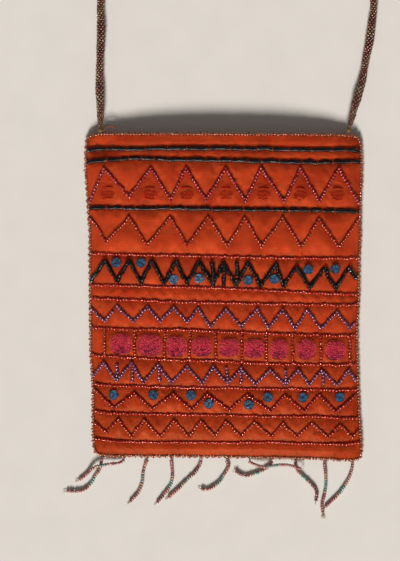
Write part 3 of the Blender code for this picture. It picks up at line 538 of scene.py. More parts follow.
def bead_glass(name, dark, light, glint, depth=0.5, glance=1.0, coat=0.5, rubbed=0.42):
    """Drawn glass seed beads, fire polished: light soaks into them and leaves the far side
    glowing, and each has one small hard glint. The tint shades each bead, and those it makes
    lighter are also rubbed duller."""
    material = new_material(name)
    tint = tint_of(material)
    cloud = add_node(material, "TexNoise", {"Scale": 900.0, "Detail": 2.0})
    shade = add_node(material, "Math", {0: tint, 1: cloud}, operation="ADD")
    colour = add_node(material, "Mix", {
        "Factor": shade, 6: linear(dark), 7: linear(light)}, data_type="RGBA")
    dulled = add_node(material, "MapRange", {
        "Value": tint, "From Min": 0.45, "To Min": 0.12, "To Max": rubbed})
    bump = add_node(material, "Bump", {"Height": cloud, "Strength": 0.15, "Distance": 0.0001})
    return finish_material(material, {
        "Base Color": colour, "Roughness": dulled, "IOR": 1.65,
        "Specular IOR Level": glance, "Specular Tint": linear(glint),
        "Coat Weight": coat, "Coat Roughness": 0.12, "Coat IOR": 1.6,
        "Subsurface Weight": depth, "Subsurface Radius": (1.0, 0.25, 0.15),
        "Subsurface Scale": 0.0012, "Normal": bump})


def mixed_glass(name, stops, roughness):
    """Lustred glass beads of several colours on one string; tint picks each bead's colour."""
    material = new_material(name)
    dye = dyed_by_tint(material, stops)
    cloud = add_node(material, "TexNoise", {"Scale": 1200.0, "Detail": 2.0})
    depth = add_node(material, "MapRange", {"Value": cloud, "To Max": 0.22})
    colour = add_node(material, "Mix", {
        "Factor": depth, 6: dye, 7: linear("2A1410")}, data_type="RGBA")
    bump = add_node(material, "Bump", {"Height": cloud, "Strength": 0.3, "Distance": 0.0001})
    return finish_material(material, {
        "Base Color": colour, "Roughness": roughness, "IOR": 1.56, "Specular IOR Level": 0.7,
        "Coat Weight": 0.5, "Coat Roughness": 0.06, "Coat IOR": 1.55, "Normal": bump})


def spun_thread(name, dark, light, roughness=0.75):
    """Spun and twisted cotton or silk thread: fine fibres and a faint sheen."""
    material = new_material(name)
    where = add_node(material, "TexCoord", {}).outputs["Object"]
    fibres = add_node(material, "TexNoise", {
        "Vector": where, "Scale": 2600.0, "Detail": 3.0, "Roughness": 0.7})
    shade = add_node(material, "Math", {0: tint_of(material), 1: fibres}, operation="ADD")
    colour = add_node(material, "Mix", {
        "Factor": shade, 6: linear(dark), 7: linear(light)}, data_type="RGBA")
    bump = add_node(material, "Bump", {"Height": fibres, "Strength": 0.6, "Distance": 0.0001})
    return finish_material(material, {
        "Base Color": colour, "Roughness": roughness, "Specular IOR Level": 0.2,
        "Specular Tint": linear("FFC4A8"), "Sheen Weight": 0.04, "Sheen Roughness": 0.4,
        "Sheen Tint": linear("FFB090"), "Normal": bump})


def silk_floss(name, stops):
    """Untwisted silk floss, stitched: bright along each stitch; tint picks the dye."""
    material = new_material(name)
    dye = dyed_by_tint(material, stops)
    where = add_node(material, "TexCoord", {}).outputs["Object"]
    fibres = add_node(material, "TexNoise", {
        "Vector": where, "Scale": 3000.0, "Detail": 2.0, "Roughness": 0.6})
    bump = add_node(material, "Bump", {"Height": fibres, "Strength": 0.5, "Distance": 0.0001})
    return finish_material(material, {
        "Base Color": dye, "Roughness": 0.55, "IOR": 1.54, "Specular Tint": linear("FF9AA0"),
        "Sheen Weight": 0.08, "Sheen Roughness": 0.3, "Sheen Tint": linear("FF7088"),
        "Normal": bump})


def sequin_foil(name, dark, light):
    """Embossed and dyed foil: mottled blue, whose facets catch the light one by one."""
    material = new_material(name)
    where = add_node(material, "TexCoord", {}).outputs["Object"]
    crackle = add_node(material, "TexNoise", {
        "Vector": where, "Scale": 1500.0, "Detail": 3.0, "Roughness": 0.6})
    contrast = add_node(material, "MapRange", {
        "Value": crackle, "From Min": 0.36, "From Max": 0.62, "To Min": -0.6, "To Max": 0.5})
    shade = add_node(material, "Math", {0: tint_of(material), 1: contrast}, operation="ADD")
    colour = add_node(material, "Mix", {
        "Factor": shade, 6: linear(dark), 7: linear(light)}, data_type="RGBA")
    roughness = add_node(material, "MapRange", {"Value": crackle, "To Min": 0.35, "To Max": 0.6})
    bump = add_node(material, "Bump", {"Height": crackle, "Strength": 0.6, "Distance": 0.00015})
    return finish_material(material, {
        "Base Color": colour, "Metallic": 0.12, "Roughness": roughness, "Coat Weight": 0.15,
        "Coat Roughness": 0.2, "Normal": bump})


def matte_floor(name, hex_colour):
    """Painted board, matt: plain and pale, with a faint grain."""
    material = new_material(name)
    where = add_node(material, "TexCoord", {}).outputs["Object"]
    grain = add_node(material, "TexNoise", {"Vector": where, "Scale": 60.0, "Detail": 4.0})
    colour = add_node(material, "Mix", {
        "Factor": grain, 6: linear(hex_colour), 7: linear("EAE8E4")}, data_type="RGBA")
    return finish_material(material, {"Base Color": colour, "Roughness": 0.9})


# Pieces, and small shapes that are copied many times into one of them

def new_object(name, data):
    made = bpy.data.objects.new(name, data)
    bpy.context.scene.collection.objects.link(made)
    return made


def fitted(piece, slot_name, body, *nodes):
    """A piece on the body that it rides on, with the nodes it stands for hidden. The finish's slot name
    is not used.
    """
    if nodes:
        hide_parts(*nodes)
    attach(piece, body)
    return piece


def unit(vectors):
    return vectors / np.linalg.norm(vectors, axis=-1, keepdims=True)


class Pile:
    """Points, faces and tints of many small shapes that make one piece."""

    def __init__(self):
        self.points = []
        self.faces = []
        self.tints = []
        self.count = 0

    def add(self, points, face_groups, tints):
        """Points as rows, faces as groups of rows of indices, and one tint or one a point."""
        self.points.append(np.asarray(points, float))
        self.tints.append(np.broadcast_to(np.asarray(tints, float), (len(points),)))
        for group in face_groups:
            self.faces += (np.asarray(group) + self.count).tolist()
        self.count += len(points)

    def add_copies(self, shape, centres, alongs, lengths, widths, tints, ups=UP):
        """Copies of a shape whose X runs along and whose Z points up at each centre."""
        points, face_groups = shape
        count = len(centres)
        alongs = unit(alongs)
        sides = unit(np.cross(ups, alongs))
        tops = np.cross(alongs, sides)
        lengths = np.broadcast_to(lengths, (count,))[:, None, None]
        widths = np.broadcast_to(widths, (count,))[:, None, None]
        spots = centres[:, None, :] + points[None, :, 0:1] * lengths * alongs[:, None, :]
        spots = spots + points[None, :, 1:2] * widths * sides[:, None, :]
        spots = spots + points[None, :, 2:3] * widths * tops[:, None, :]
        starts = (np.arange(count) * len(points))[:, None, None]
        groups = [(np.asarray(group)[None] + starts).reshape(-1, len(group[0]))
                  for group in face_groups]
        shades = np.repeat(np.broadcast_to(tints, (count,)), len(points))
        self.add(spots.reshape(-1, 3), groups, shades)

    def make(self, name, finish, slot_name, body, *nodes, smooth=True):
        mesh = bpy.data.meshes.new(name)
        mesh.from_pydata(np.vstack(self.points).tolist(), [], self.faces)
        tint = mesh.attributes.new("tint", "FLOAT", "POINT")
        tint.data.foreach_set("value", np.concatenate(self.tints).astype(np.float32))
        if smooth:
            mesh.shade_smooth()
        mesh.materials.append(finish)
        return fitted(new_object(name, mesh), slot_name, body, *nodes)


def directions(sides):
    """Even directions round a circle."""
    return 2 * np.pi * np.arange(sides) / sides


def ring_faces(ring_count, sides, closed=False):
    """Faces over rings of points that follow one another, facing outward: quads between them
    and, unless the last ring joins the first, a face at each end."""
    quads = []
    for ring in range(ring_count if closed else ring_count - 1):
        start = ring * sides
        after = (ring + 1) % ring_count * sides
        for k in range(sides):
            n = (k + 1) % sides
            quads.append((start + k, start + n, after + n, after + k))
    if closed:
        return [quads]
    last = (ring_count - 1) * sides
    return [quads, [tuple(range(sides))[::-1], tuple(range(last, last + sides))]]


def turned_over(face_groups):
    return [[face[::-1] for face in group] for group in face_groups]


def turned_shape(profile, sides, hollow):
    """A shape turned round X from (radius, place along): a bead with a hole, or a solid one."""
    turns = directions(sides)
    rings = [np.column_stack([np.full(sides, along), radius * np.cos(turns), radius * np.sin(turns)])
             for radius, along in profile]
    return np.vstack(rings), ring_faces(len(profile), sides, hollow)


def bent_thread(points, radius, sides):
    """A round thread of a few points, closed at its ends, as a shape to copy."""
    points = np.asarray(points, float)
    tangents = unit(np.gradient(points, axis=0))
    side = np.array([1.0, 0, 0]) if abs(tangents[0][0]) < 0.6 else np.array([0, 1.0, 0])
    turns = directions(sides)[:, None]
    rings = []
    for point, tangent in zip(points, tangents):
        side = unit(side - tangent * side.dot(tangent))
        other = np.cross(tangent, side)
        rings.append(point + radius * (np.cos(turns) * side + np.sin(turns) * other))
    return np.vstack(rings), ring_faces(len(points), sides)


SEED_BEAD = turned_shape(((0.42, -0.50), (0.74, -0.42), (0.93, -0.24), (1.0, 0), (0.93, 0.24),
                          (0.74, 0.42), (0.42, 0.50)), BEAD_SIDES, True)
# The black ones were cut from tube and barely rounded, so each keeps a flat band that flashes
TUBE_BEAD = turned_shape(((0.45, -0.50), (0.84, -0.45), (0.98, -0.28), (1.0, -0.16), (1.0, 0.16),
                          (0.98, 0.28), (0.84, 0.45), (0.45, 0.50)), BEAD_SIDES, True)
ROPE_BEAD = turned_shape(((0.60, -0.42), (1.0, -0.02), (0.62, 0.42)), 6, False)


# Shape of the pouch

def place(across, down):
    """Where shares of the width and of the height fall on the flat outline, as x and y."""
    even = np.linspace(0, 1, len(LEFT_INSET_SHARES))
    left = np.interp(down, even, LEFT_INSET_SHARES)
    right = np.interp(down, even, RIGHT_INSET_SHARES)
    side = np.abs(2 * across - 1)
    rise = np.abs(2 * down - 1)
    x = (across - 0.5) * (1 - CORNER_SHARE * rise ** CORNER_POWER)
    x = x + left * (1 - across) - right * across
    y = (0.5 - down) * (1 - CORNER_SHARE * side ** CORNER_POWER)
    y = y - HEM_DROP_SHARE * (across - 0.5) * down
    # Neither end is quite straight
    even = np.linspace(0, 1, len(TOP_RISE_SHARES))
    y = y + np.interp(across, even, TOP_RISE_SHARES) * (1 - np.clip(down, 0, 1)) ** END_POWER
    y = y - np.interp(across, even, HEM_FALL_SHARES) * np.clip(down, 0, 1) ** END_POWER
    return x * PANEL_WIDTH, y * PANEL_HEIGHT


def puff(across, down):
    """Share of the crown's rise that the front has at a place, 0 at the seams."""
    side = np.clip(1 - np.abs(2 * across - 1) ** SIDE_PUFF_POWER, 0, 1) ** SIDE_PUFF_ROUNDNESS
    hem = np.clip(1 - np.clip(down, 0, 1) ** HEM_PUFF_POWER, 0, 1)
    reach = np.sin(np.pi / 2 * np.minimum(1, down / MOUTH_REACH_SHARE))
    return side * hem * (MOUTH_PUFF_SHARE + (1 - MOUTH_PUFF_SHARE) * reach)


def crown_height(across, down):
    return RIM_HEIGHT + CROWN_RISE * puff(across, down)


def rim_distance(across, down):
    side = np.minimum(across, 1 - across) * PANEL_WIDTH
    end = np.minimum(down, 1 - down) * PANEL_HEIGHT
    return np.minimum(side, end)


def wander(x, y, step, seed):
    """A smooth uneven surface of unit size, its hills about a step apart."""
    random = np.random.default_rng(seed)
    total = 0
    waves = 10
    for _ in range(waves):
        heading = random.uniform(0, 2 * np.pi)
        length = step * random.uniform(0.6, 1.8)
        run = x * np.cos(heading) + y * np.sin(heading)
        total = total + np.sin(2 * np.pi * run / length + random.uniform(0, 2 * np.pi))
    return total / math.sqrt(waves / 2)


def distance_to(lines, x, y):
    """Distance on the flat cloth to the nearest of some lines of (x, y) points."""
    nearest = np.full(np.shape(x), np.inf)
    for line in lines:
        for (ax, ay), (bx, by) in zip(line, line[1:]):
            run_x = bx - ax
            run_y = by - ay
            share = ((x - ax) * run_x + (y - ay) * run_y) / (run_x ** 2 + run_y ** 2)
            share = np.clip(share, 0, 1)
            nearest = np.minimum(nearest, np.hypot(x - ax - run_x * share, y - ay - run_y * share))
    return nearest


def row_stops(shares):
    """Stops of a straight row, as (share across, share down)."""
    return list(zip(np.linspace(ROW_END_SHARE, 1 - ROW_END_SHARE, len(shares)), shares))


def ladder_bars():
    even, upper = zip(*row_stops(LADDER_TOP_SHARES))
    return [((across, np.interp(across, even, upper)),
             (across, np.interp(across, even, LADDER_FOOT_SHARES))) for across in LADDER_BAR_SHARES]


def flat_lines(runs):
    return [[place(across, down) for across, down in run] for run in runs]


LADDER_ROWS = [row_stops(LADDER_TOP_SHARES), row_stops(LADDER_FOOT_SHARES)]
ROW_LINES = flat_lines([row_stops(shares) for shares in ROW_SHARES.values()] + LADDER_ROWS)
BARS = [bar for bars in BAR_SHARES.values() for bar in bars]
ZIGZAG_LINES = flat_lines([*ZIGZAG_SHARES.values(), *BARS, *ladder_bars()])


def quilting(across, down):
    """How far the satin stands over the plain crown: swelled between rows, drawn in at them."""
    x, y = place(across, down)
    rows = distance_to(ROW_LINES, x, y)
    rim = rim_distance(across, down)
    swell = SWELL_RISE * (1 - np.exp(-np.minimum(rows, rim) / SWELL_REACH))
    swell = swell - ROW_SINK * np.exp(-(rows / ROW_SINK_REACH) ** 2)
    cell = np.minimum(np.minimum(distance_to(ZIGZAG_LINES, x, y), rows), rim)
    swell = swell + ZIGZAG_SWELL_RISE * (0.5 - np.exp(-cell / ZIGZAG_SWELL_REACH))
    # Puckers lean one way and the other from row to row
    phase = PUCKER_SWAY * np.sin(2 * np.pi * y / PUCKER_SWAY_STEP)
    pucker = np.cos(2 * np.pi * x / PUCKER_STEP + phase) * np.exp(-rows / PUCKER_REACH)
    swell = swell + PUCKER_RISE * pucker + UNEVEN_RISE * wander(x, y, UNEVEN_STEP, SEED)
    corner_x, corner_y = place(*DENT_SHARES)
    dent = DENT_DEPTH * np.exp(-((x - corner_x) ** 2 + (y - corner_y) ** 2) / DENT_REACH ** 2)
    return (swell - dent) * np.clip(rim / RIM_FADE, 0, 1)


def plain_front_height(across, down):
    """Height of the satin's outer face before the wadding fills it out."""
    return crown_height(across, down) + quilting(across, down)


def drawn_to_ends(count, share=0.35):
    """Shares from 0 to 1, closer together near both ends."""
    even = np.linspace(0, 1, count)
    return (1 - share) * even + share * (0.5 - 0.5 * np.cos(np.pi * even))


def grid_mesh(name, points):
    """A mesh of quads over a grid of points, columns first."""
    columns, rows = points.shape[:2]
    index = np.arange(columns * rows).reshape(columns, rows)
    quads = np.stack([index[:-1, :-1], index[:-1, 1:], index[1:, 1:], index[1:, :-1]], axis=-1)
    mesh = bpy.data.meshes.new(name)
    mesh.from_pydata(points.reshape(-1, 3).tolist(), [], quads.reshape(-1, 4).tolist())
    return mesh


def filled_out(across, down):
    """Heights of the front once its wadding presses on it, by cloth simulation. The rim and
    the couched lines hold it, and it swells and puckers between them."""
    x, y = place(across, down)
    plain = plain_front_height(across, down)
    points = np.stack([x, y, plain], axis=-1) * FILL_SCALE
    trial = new_object("front_before_filling", grid_mesh("front_before_filling", points))
    near = np.minimum(distance_to(ROW_LINES + ZIGZAG_LINES, x, y), rim_distance(across, down))
    hold = np.clip(1.5 - near / STITCH_HOLD, 0, 1).ravel()
    held = trial.vertex_groups.new(name="held")
    levels = 4
    for level in range(1, levels + 1):
        chosen = np.nonzero((hold > (level - 1) / levels) & (hold <= level / levels))[0]
        held.add(chosen.tolist(), level / levels, "REPLACE")
    wadding = trial.modifiers.new("wadding", "CLOTH")
    cloth = wadding.settings
    cloth.quality = 5
    cloth.mass = 0.3
    cloth.tension_stiffness = 12
    cloth.compression_stiffness = 12
    cloth.shear_stiffness = 5
    cloth.bending_stiffness = FILL_BENDING
    cloth.vertex_group_mass = held.name
    cloth.use_pressure = True
    cloth.uniform_pressure_force = FILL_PRESSURE
    cloth.shrink_min = -FILL_SPARE_SHARE
    cloth.effector_weights.gravity = 0
    wadding.collision_settings.use_collision = False
    wadding.point_cache.frame_end = FILL_FRAMES
    for step in range(1, FILL_FRAMES + 1):
        bpy.context.scene.frame_set(step)
    evaluated = trial.evaluated_get(bpy.context.evaluated_depsgraph_get())
    spots = np.empty(points.size)
    evaluated.data.vertices.foreach_get("co", spots)
    bpy.context.scene.frame_set(1)
    used = trial.data
    bpy.data.objects.remove(trial)
    bpy.data.meshes.remove(used)
    heights = spots.reshape(points.shape)[..., 2] / FILL_SCALE
    # Near the rim the seams hold it flatter
    slack = np.clip(rim_distance(across, down) / FILL_RIM_REACH, FILL_RIM_SHARE, 1)
    return np.clip(plain + (heights - plain) * slack, plain - FILL_DIP, plain + FILL_RISE)


FACE_COLUMNS = drawn_to_ends(CLOTH_COLUMNS)
FACE_ROWS = drawn_to_ends(CLOTH_ROWS)
FACE_HEIGHTS = filled_out(*np.meshgrid(FACE_COLUMNS, FACE_ROWS, indexing="ij"))


def front_height(across, down):
    """Height of the satin's outer face, read between the points of its grid."""
    column = np.clip(np.searchsorted(FACE_COLUMNS, across) - 1, 0, CLOTH_COLUMNS - 2)
    row = np.clip(np.searchsorted(FACE_ROWS, down) - 1, 0, CLOTH_ROWS - 2)
    a = (across - FACE_COLUMNS[column]) / (FACE_COLUMNS[column + 1] - FACE_COLUMNS[column])
    d = (down - FACE_ROWS[row]) / (FACE_ROWS[row + 1] - FACE_ROWS[row])
    nearer = FACE_HEIGHTS[column, row] * (1 - a) + FACE_HEIGHTS[column + 1, row] * a
    further = FACE_HEIGHTS[column, row + 1] * (1 - a) + FACE_HEIGHTS[column + 1, row + 1] * a
    return nearer * (1 - d) + further * d


def back_height(across, down):
    """Height of the back's underside: flat on the table, rolled up at its rim."""
    edge = np.minimum(np.minimum(across, 1 - across), np.minimum(down, 1 - down))
    return EDGE_LIFT * np.maximum(0, 1 - edge / RIM_ROLL_SHARE) ** 2


def on_front(stops):
    """Points over the satin at (share across, share down) stops."""
    across, down = np.asarray(stops, float).T
    return np.column_stack([*place(across, down), front_height(across, down)])


# Routes

def walk(line):
    """How far along a line of points each of them is."""
    steps = np.linalg.norm(np.diff(line, axis=0), axis=1)
    return np.concatenate([[0.0], np.cumsum(steps)])


def read_at(goals, walked, field):
    return np.column_stack([np.interp(goals, walked, field[:, axis]) for axis in range(3)])


def at_lengths(line, goals):
    """Points at some lengths along a line of points."""
    return read_at(goals, walk(line), line)


def headings(line, goals, step=HEADING_STEP):
    """The directions of a line of points at some lengths along it."""
    total = walk(line)[-1]
    after = at_lengths(line, np.clip(goals + step, 0, total))
    return unit(after - at_lengths(line, np.clip(goals - step, 0, total)))


def even_points(line, step):
    total = walk(line)[-1]
    count = max(2, round(total / step))
    return at_lengths(line, np.linspace(0, total, count + 1))


def smooth_route(route, step):
    """Even points on a smooth curve through a route's own points."""
    spots = np.asarray(route, float)
    ends = np.vstack([2 * spots[0] - spots[1], spots, 2 * spots[-1] - spots[-2]])
    shares = (np.arange(ROUTE_STEPS) / ROUTE_STEPS)[:, None]
    runs = []
    for a, b, c, d in zip(ends, ends[1:], ends[2:], ends[3:]):
        runs.append(0.5 * (2 * b + (c - a) * shares + (2 * a - 5 * b + 4 * c - d) * shares ** 2
                           + (3 * b - a - 3 * c + d) * shares ** 3))
    return even_points(np.vstack(runs + [spots[-1:]]), step)


def coil_points():
    """Spiral in on the lower layer, climb where it turns back, spiral out on the upper."""
    step_out = STRAP_DIAMETER + COIL_TURN_GAP
    outer = COIL_MEAN_RADIUS + step_out * COIL_TURNS / 4
    centre_y = COIL_ENTRY_Y + outer
    low = STRAP_DIAMETER / 2
    points = [(COIL_X - STRAP_DIAMETER, COIL_ENTRY_Y, low)]
    for k in range(COIL_TURNS * COIL_POINTS_PER_TURN + 1):
        turns = k / COIL_POINTS_PER_TURN
        inward = COIL_TURNS / 2 - abs(turns - COIL_TURNS / 2)
        radius = outer - step_out * inward
        climb = min(1, max(0, (turns - COIL_TURNS / 2) / 0.5 + 0.5))
        height = low + step_out * climb ** 2 * (3 - 2 * climb)
        turn = 2 * math.pi * turns - math.pi / 2
        points.append((COIL_X + radius * math.cos(turn), centre_y + radius * math.sin(turn), height))
    points.append((COIL_X + STRAP_DIAMETER, COIL_ENTRY_Y, low + step_out))
    return points


# Camera, light and floor

def make_camera():
    camera = bpy.data.cameras.new("overhead_camera")
    camera.lens = LENS
    camera.sensor_width = SENSOR
    camera.clip_end = 10.0
    placed = new_object("overhead_camera", camera)
    placed.location = (VIEW_X, VIEW_Y, VIEW_LEVEL + VIEW_HEIGHT * LENS / SENSOR)
    bpy.context.scene.camera = placed


def make_light():
    """One soft lamp beyond the hem, so far off that it lights the whole floor alike, and a dim
    studio round it that is pale only where the floor ends."""
    lamp = bpy.data.lights.new("hem_side_lamp", "SUN")
    lamp.angle = math.radians(18)
    lamp.energy = 3.95
    lamp.color = linear("FFF9F2")[:3]
    placed = new_object("hem_side_lamp", lamp)
    placed.rotation_euler = Vector((0.10, 0.78, -0.61)).to_track_quat("-Z", "Y").to_euler()
    studio = bpy.data.worlds.new("studio")
    bpy.context.scene.world = studio
    studio.use_nodes = True
    direction = add_node(studio, "TexCoord", {}).outputs["Generated"]
    rise = add_node(studio, "SeparateXYZ", {"Vector": direction}).outputs["Z"]
    share = add_node(studio, "MapRange", {"Value": rise, "From Min": 0.02, "From Max": 0.09})
    colour = add_node(studio, "Mix", {
        "Factor": share, 6: linear("E4DFD8"), 7: linear("6A6764")}, data_type="RGBA")
    background = studio.node_tree.nodes["Background"]
    studio.node_tree.links.new(colour.outputs[2], background.inputs["Color"])
    bpy.context.scene.view_settings.view_transform = "Standard"


def make_floor():
    """A pale board, just under the pouch."""
    board = bmesh.new()
    bmesh.ops.create_grid(board, x_segments=8, y_segments=8, size=FLOOR_REACH)
    mesh = bpy.data.meshes.new("floor")
    board.to_mesh(mesh)
    board.free()
    mesh.materials.append(matte_floor("painted_board", "E2E0DC"))
    floor = new_object("floor", mesh)
    floor.location.z = CAD_BOX[0][2] - FLOOR_GAP


# Strap

ROPE_GLASS = mixed_glass("lustred_rope_beads", (
    (0.0, "54241E"), (0.3, "7C4034"), (0.5, "925446"), (0.7, "74583A"), (1.0, "98785A")), 0.22)


def rope_frames(route):
    """Tangent, sideways and upward directions along a route that lies down."""
    tangents = unit(np.gradient(route, axis=0))
    sides = unit(np.cross(tangents, UP))
    return tangents, sides, np.cross(sides, tangents)


def lay_strings(pile, route, width_at, seed):
    """Six strings of lustred beads laid round a route. width_at gives the rope's width after
    some length of it."""
    walked = walk(route)
    total = walked[-1]
    fields = (route, *rope_frames(route))
    random = np.random.default_rng(seed)
    step = ROPE_BEAD_PITCH / math.hypot(1, math.pi * (STRAP_DIAMETER - ROPE_BEAD_DIAMETER) / ROPE_LAY)
    count = int(total / step)
    for string in range(ROPE_STRINGS):
        goals = (np.arange(count) + random.uniform(0.2, 0.8)) * total / count
        width = width_at(goals)
        bead = np.minimum(ROPE_BEAD_DIAMETER, ROPE_BEAD_SHARE * width)
        lie = (width - bead) / 2
        turn = -2 * np.pi * (goals / ROPE_LAY + string / ROPE_STRINGS)
        turn = turn - 0.5 * np.sin(goals / ROPE_LAY_SWAY)
        middle, tangent, side, up = [read_at(goals, walked, field) for field in fields]
        out = np.cos(turn)[:, None] * side + np.sin(turn)[:, None] * up
        round_way = np.sin(turn)[:, None] * side - np.cos(turn)[:, None] * up
        along = tangent + round_way * (2 * np.pi * lie / ROPE_LAY)[:, None]
        along = along + random.normal(0, 0.12, along.shape)
        size = bead / 2 * random.uniform(0.84, 1.06, count)
        lengths = ROPE_BEAD_LENGTH * bead / ROPE_BEAD_DIAMETER * random.uniform(0.9, 1.05, count)
        # Brown and red beads come in uneven bands
        bands = 0.5 + 0.5 * np.sin(goals / ROPE_BAND + 1.3 * np.sin(goals / ROPE_BAND_SWAY))
        brown = string < 1 + bands * 1.5
        tints = np.where(brown, random.uniform(0.60, 1.0, count), random.uniform(0.0, 0.55, count))
        spots = middle + out * lie[:, None]
        spots[:, 2] = np.maximum(spots[:, 2], size)
        pile.add_copies(ROPE_BEAD, spots, along, lengths, size, tints, out)


def make_strap():
    """Six strings of lustred beads laid round a thread core, whole from end to end."""
    routes = (STRAP_LEFT_ROUTE, coil_points(), STRAP_RIGHT_ROUTE)
    route = np.vstack([smooth_route(part, ROPE_STEP) for part in routes])
    route = even_points(route, ROPE_STEP)
    total = walk(route)[-1]

    def width_at(goals):
        taper = np.clip(np.minimum(goals, total - goals) / STRAP_END_LENGTH, 0, 1)
        lumps = 0.96 + 0.08 * np.sin(2 * np.pi * (goals - ROPE_LUMP_START) / ROPE_LUMP)
        lumps = lumps + 0.04 * np.sin(goals / ROPE_RIPPLE)
        return STRAP_DIAMETER * (ROPE_END_SHARE + (1 - ROPE_END_SHARE) * taper) * lumps

    pile = Pile()
    lay_strings(pile, route, width_at, SEED)
    pile.add(*bent_thread(even_points(route, ROPE_CORE_STEP), ROPE_CORE_RADIUS, 6), 0.1)
    rope = pile.make("strap_rope", ROPE_GLASS, "bead_rope", "strap",
                     "strap_left", "strap_coil", "strap_right")
    return rope, route


def strap_end(side, across, lean):
    """Bound end of the strap: a rounded heel that widens to the rope, wound with thread and
    covered by the rope's own strings of beads."""
    hinge_y = PANEL_HEIGHT / 2 + RIM_BEAD_REACH + STRAP_NECK_DIAMETER / 2
    base = np.array([place(across, 0)[0], hinge_y, STRAP_BASE_HEIGHT])
    exit_point = base + np.array([lean, math.sqrt(1 - lean ** 2), 0]) * STRAP_END_LENGTH
    exit_point[2] = STRAP_EXIT_HEIGHT
    heel = STRAP_NECK_DIAMETER / 2
    run = exit_point - base
    centres = [base + unit(run) * heel * along for along, wide in HEEL_SHARES]
    radii = [heel * wide for along, wide in HEEL_SHARES]
    for along, wide in BINDING_SHARES:
        centre = base + run * along
        centre[2] = base[2] + run[2] * min(1, along / LEVEL_SHARE)
        centres.append(centre)
        radii.append(heel + (STRAP_DIAMETER / 2 * ROPE_END_SHARE - heel) * wide)
    centres = np.array(centres)
    walked = walk(centres)
    total = walked[-1]
    goals = np.linspace(0, total, BINDING_RINGS)
    middle = at_lengths(centres, goals)
    _, across_way, up_way = rope_frames(middle)
    # The core is bare at the heel and sinks under the beads beyond it
    covered = np.clip((goals - heel) / heel, 0, 1)
    wide = np.interp(goals, walked, radii) - BINDING_SINK * covered
    turns = directions(BINDING_SIDES)
    ridge = np.abs(np.sin(np.pi * (goals[:, None] / BINDING_THREAD + turns / (2 * np.pi))))
    spread = wide[:, None] * (0.93 + 0.07 * ridge)
    points = middle[:, None, :] + spread[..., None] * (
        np.cos(turns)[None, :, None] * across_way[:, None, :]
        + np.sin(turns)[None, :, None] * up_way[:, None, :])
    shades = np.repeat(0.5 + 0.3 * np.sin(goals / BINDING_SHADE_STEP), BINDING_SIDES)
    binding = Pile()
    binding.add(points.reshape(-1, 3), ring_faces(BINDING_RINGS, BINDING_SIDES), shades)
    thread = spun_thread("binding_thread_" + side, "3A2A1C", "6E5A40")
    bound = binding.make("strap_binding_" + side, thread, "rope_binding", "strap",
                         "strap_end_" + side)
    # The rope's strings start half a pitch past this end's far face and stop above its heel
    cover = at_lengths(centres, np.linspace(total, BARE_HEEL_SHARE * heel, 40))
    cover[0] += unit(run) * ROPE_BEAD_PITCH / 2

    def width_at(lengths):
        return 2 * np.interp(total - lengths, walked, radii)

    beads = Pile()
    lay_strings(beads, cover, width_at, SEED + 20 + len(side))
    return bound, beads.make("strap_end_beads_" + side, ROPE_GLASS, "bead_rope", "strap")


# Cloth

def cloth_sheet(name, across, down, heights, thickness, finish, slot_name, node):
    """A sheet given by the middle of its thickness, over a grid of shares, and its cut size."""
    x, y = place(across, down)
    mesh = grid_mesh(name, np.stack([x, y, heights], axis=-1))

    def along_cloth(flat, axis):
        steps = np.cumsum(np.hypot(np.diff(flat, axis=axis), np.diff(heights, axis=axis)), axis=axis)
        return np.insert(steps, 0, 0, axis=axis)

    # The thread grid follows the cut cloth, in metres
    lengthwise = along_cloth(y, 1)
    widthwise = along_cloth(x, 0)
    layout = mesh.uv_layers.new(name="cloth")
    corners = np.zeros(len(mesh.loops), np.int32)
    mesh.loops.foreach_get("vertex_index", corners)
    threads = np.column_stack([widthwise.ravel(), lengthwise.ravel()])[corners]
    layout.data.foreach_set("uv", threads.ravel().astype(np.float32))
    mesh.shade_smooth()
    mesh.materials.append(finish)
    made = new_object(name, mesh)
    shell = made.modifiers.new("thickness", "SOLIDIFY")
    shell.thickness = thickness
    shell.offset = 0
    shell.use_even_offset = False
    evaluated = made.evaluated_get(bpy.context.evaluated_depsgraph_get())
    thick = bpy.data.meshes.new_from_object(evaluated)
    made.modifiers.clear()
    made.data = thick
    bpy.data.meshes.remove(mesh)
    cut = (float(widthwise[-1].mean()), float(lengthwise[:, -1].mean()))
    return fitted(made, slot_name, "pouch", node), cut


def with_turning(turning, columns, rows, flat_value):
    """A grid of shares over a turned-in edge and the face after it, with a value for each row."""
    turned, values = zip(*turning)
    across, down = np.meshgrid(columns, np.concatenate([turned, rows]), indexing="ij")
    values = np.concatenate([values, np.full(len(rows), flat_value)])
    return across, down, np.broadcast_to(values, across.shape)


def make_front():
    """Front satin: one cut, turned under along the mouth and laid over the crown."""
    rows = FRONT_LIP_SHARE + (1 - FRONT_LIP_SHARE) * FACE_ROWS
    across, down, depth = with_turning(FRONT_TURNING, FACE_COLUMNS, rows, SATIN_DEPTH)
    # At the sides the turning has no room, so it lies closer
    room = np.clip(np.minimum(across, 1 - across) / 0.03, 0.25, 1)
    heights = front_height(across, down) - SATIN_DEPTH - (depth - SATIN_DEPTH) * room
    finish = satin("orange_silk_satin_front", "A02C16", "D04C25")
    return cloth_sheet("front_satin", across, down, heights, CLOTH_THICKNESS, finish,
                       "orange_satin", "front_panel")


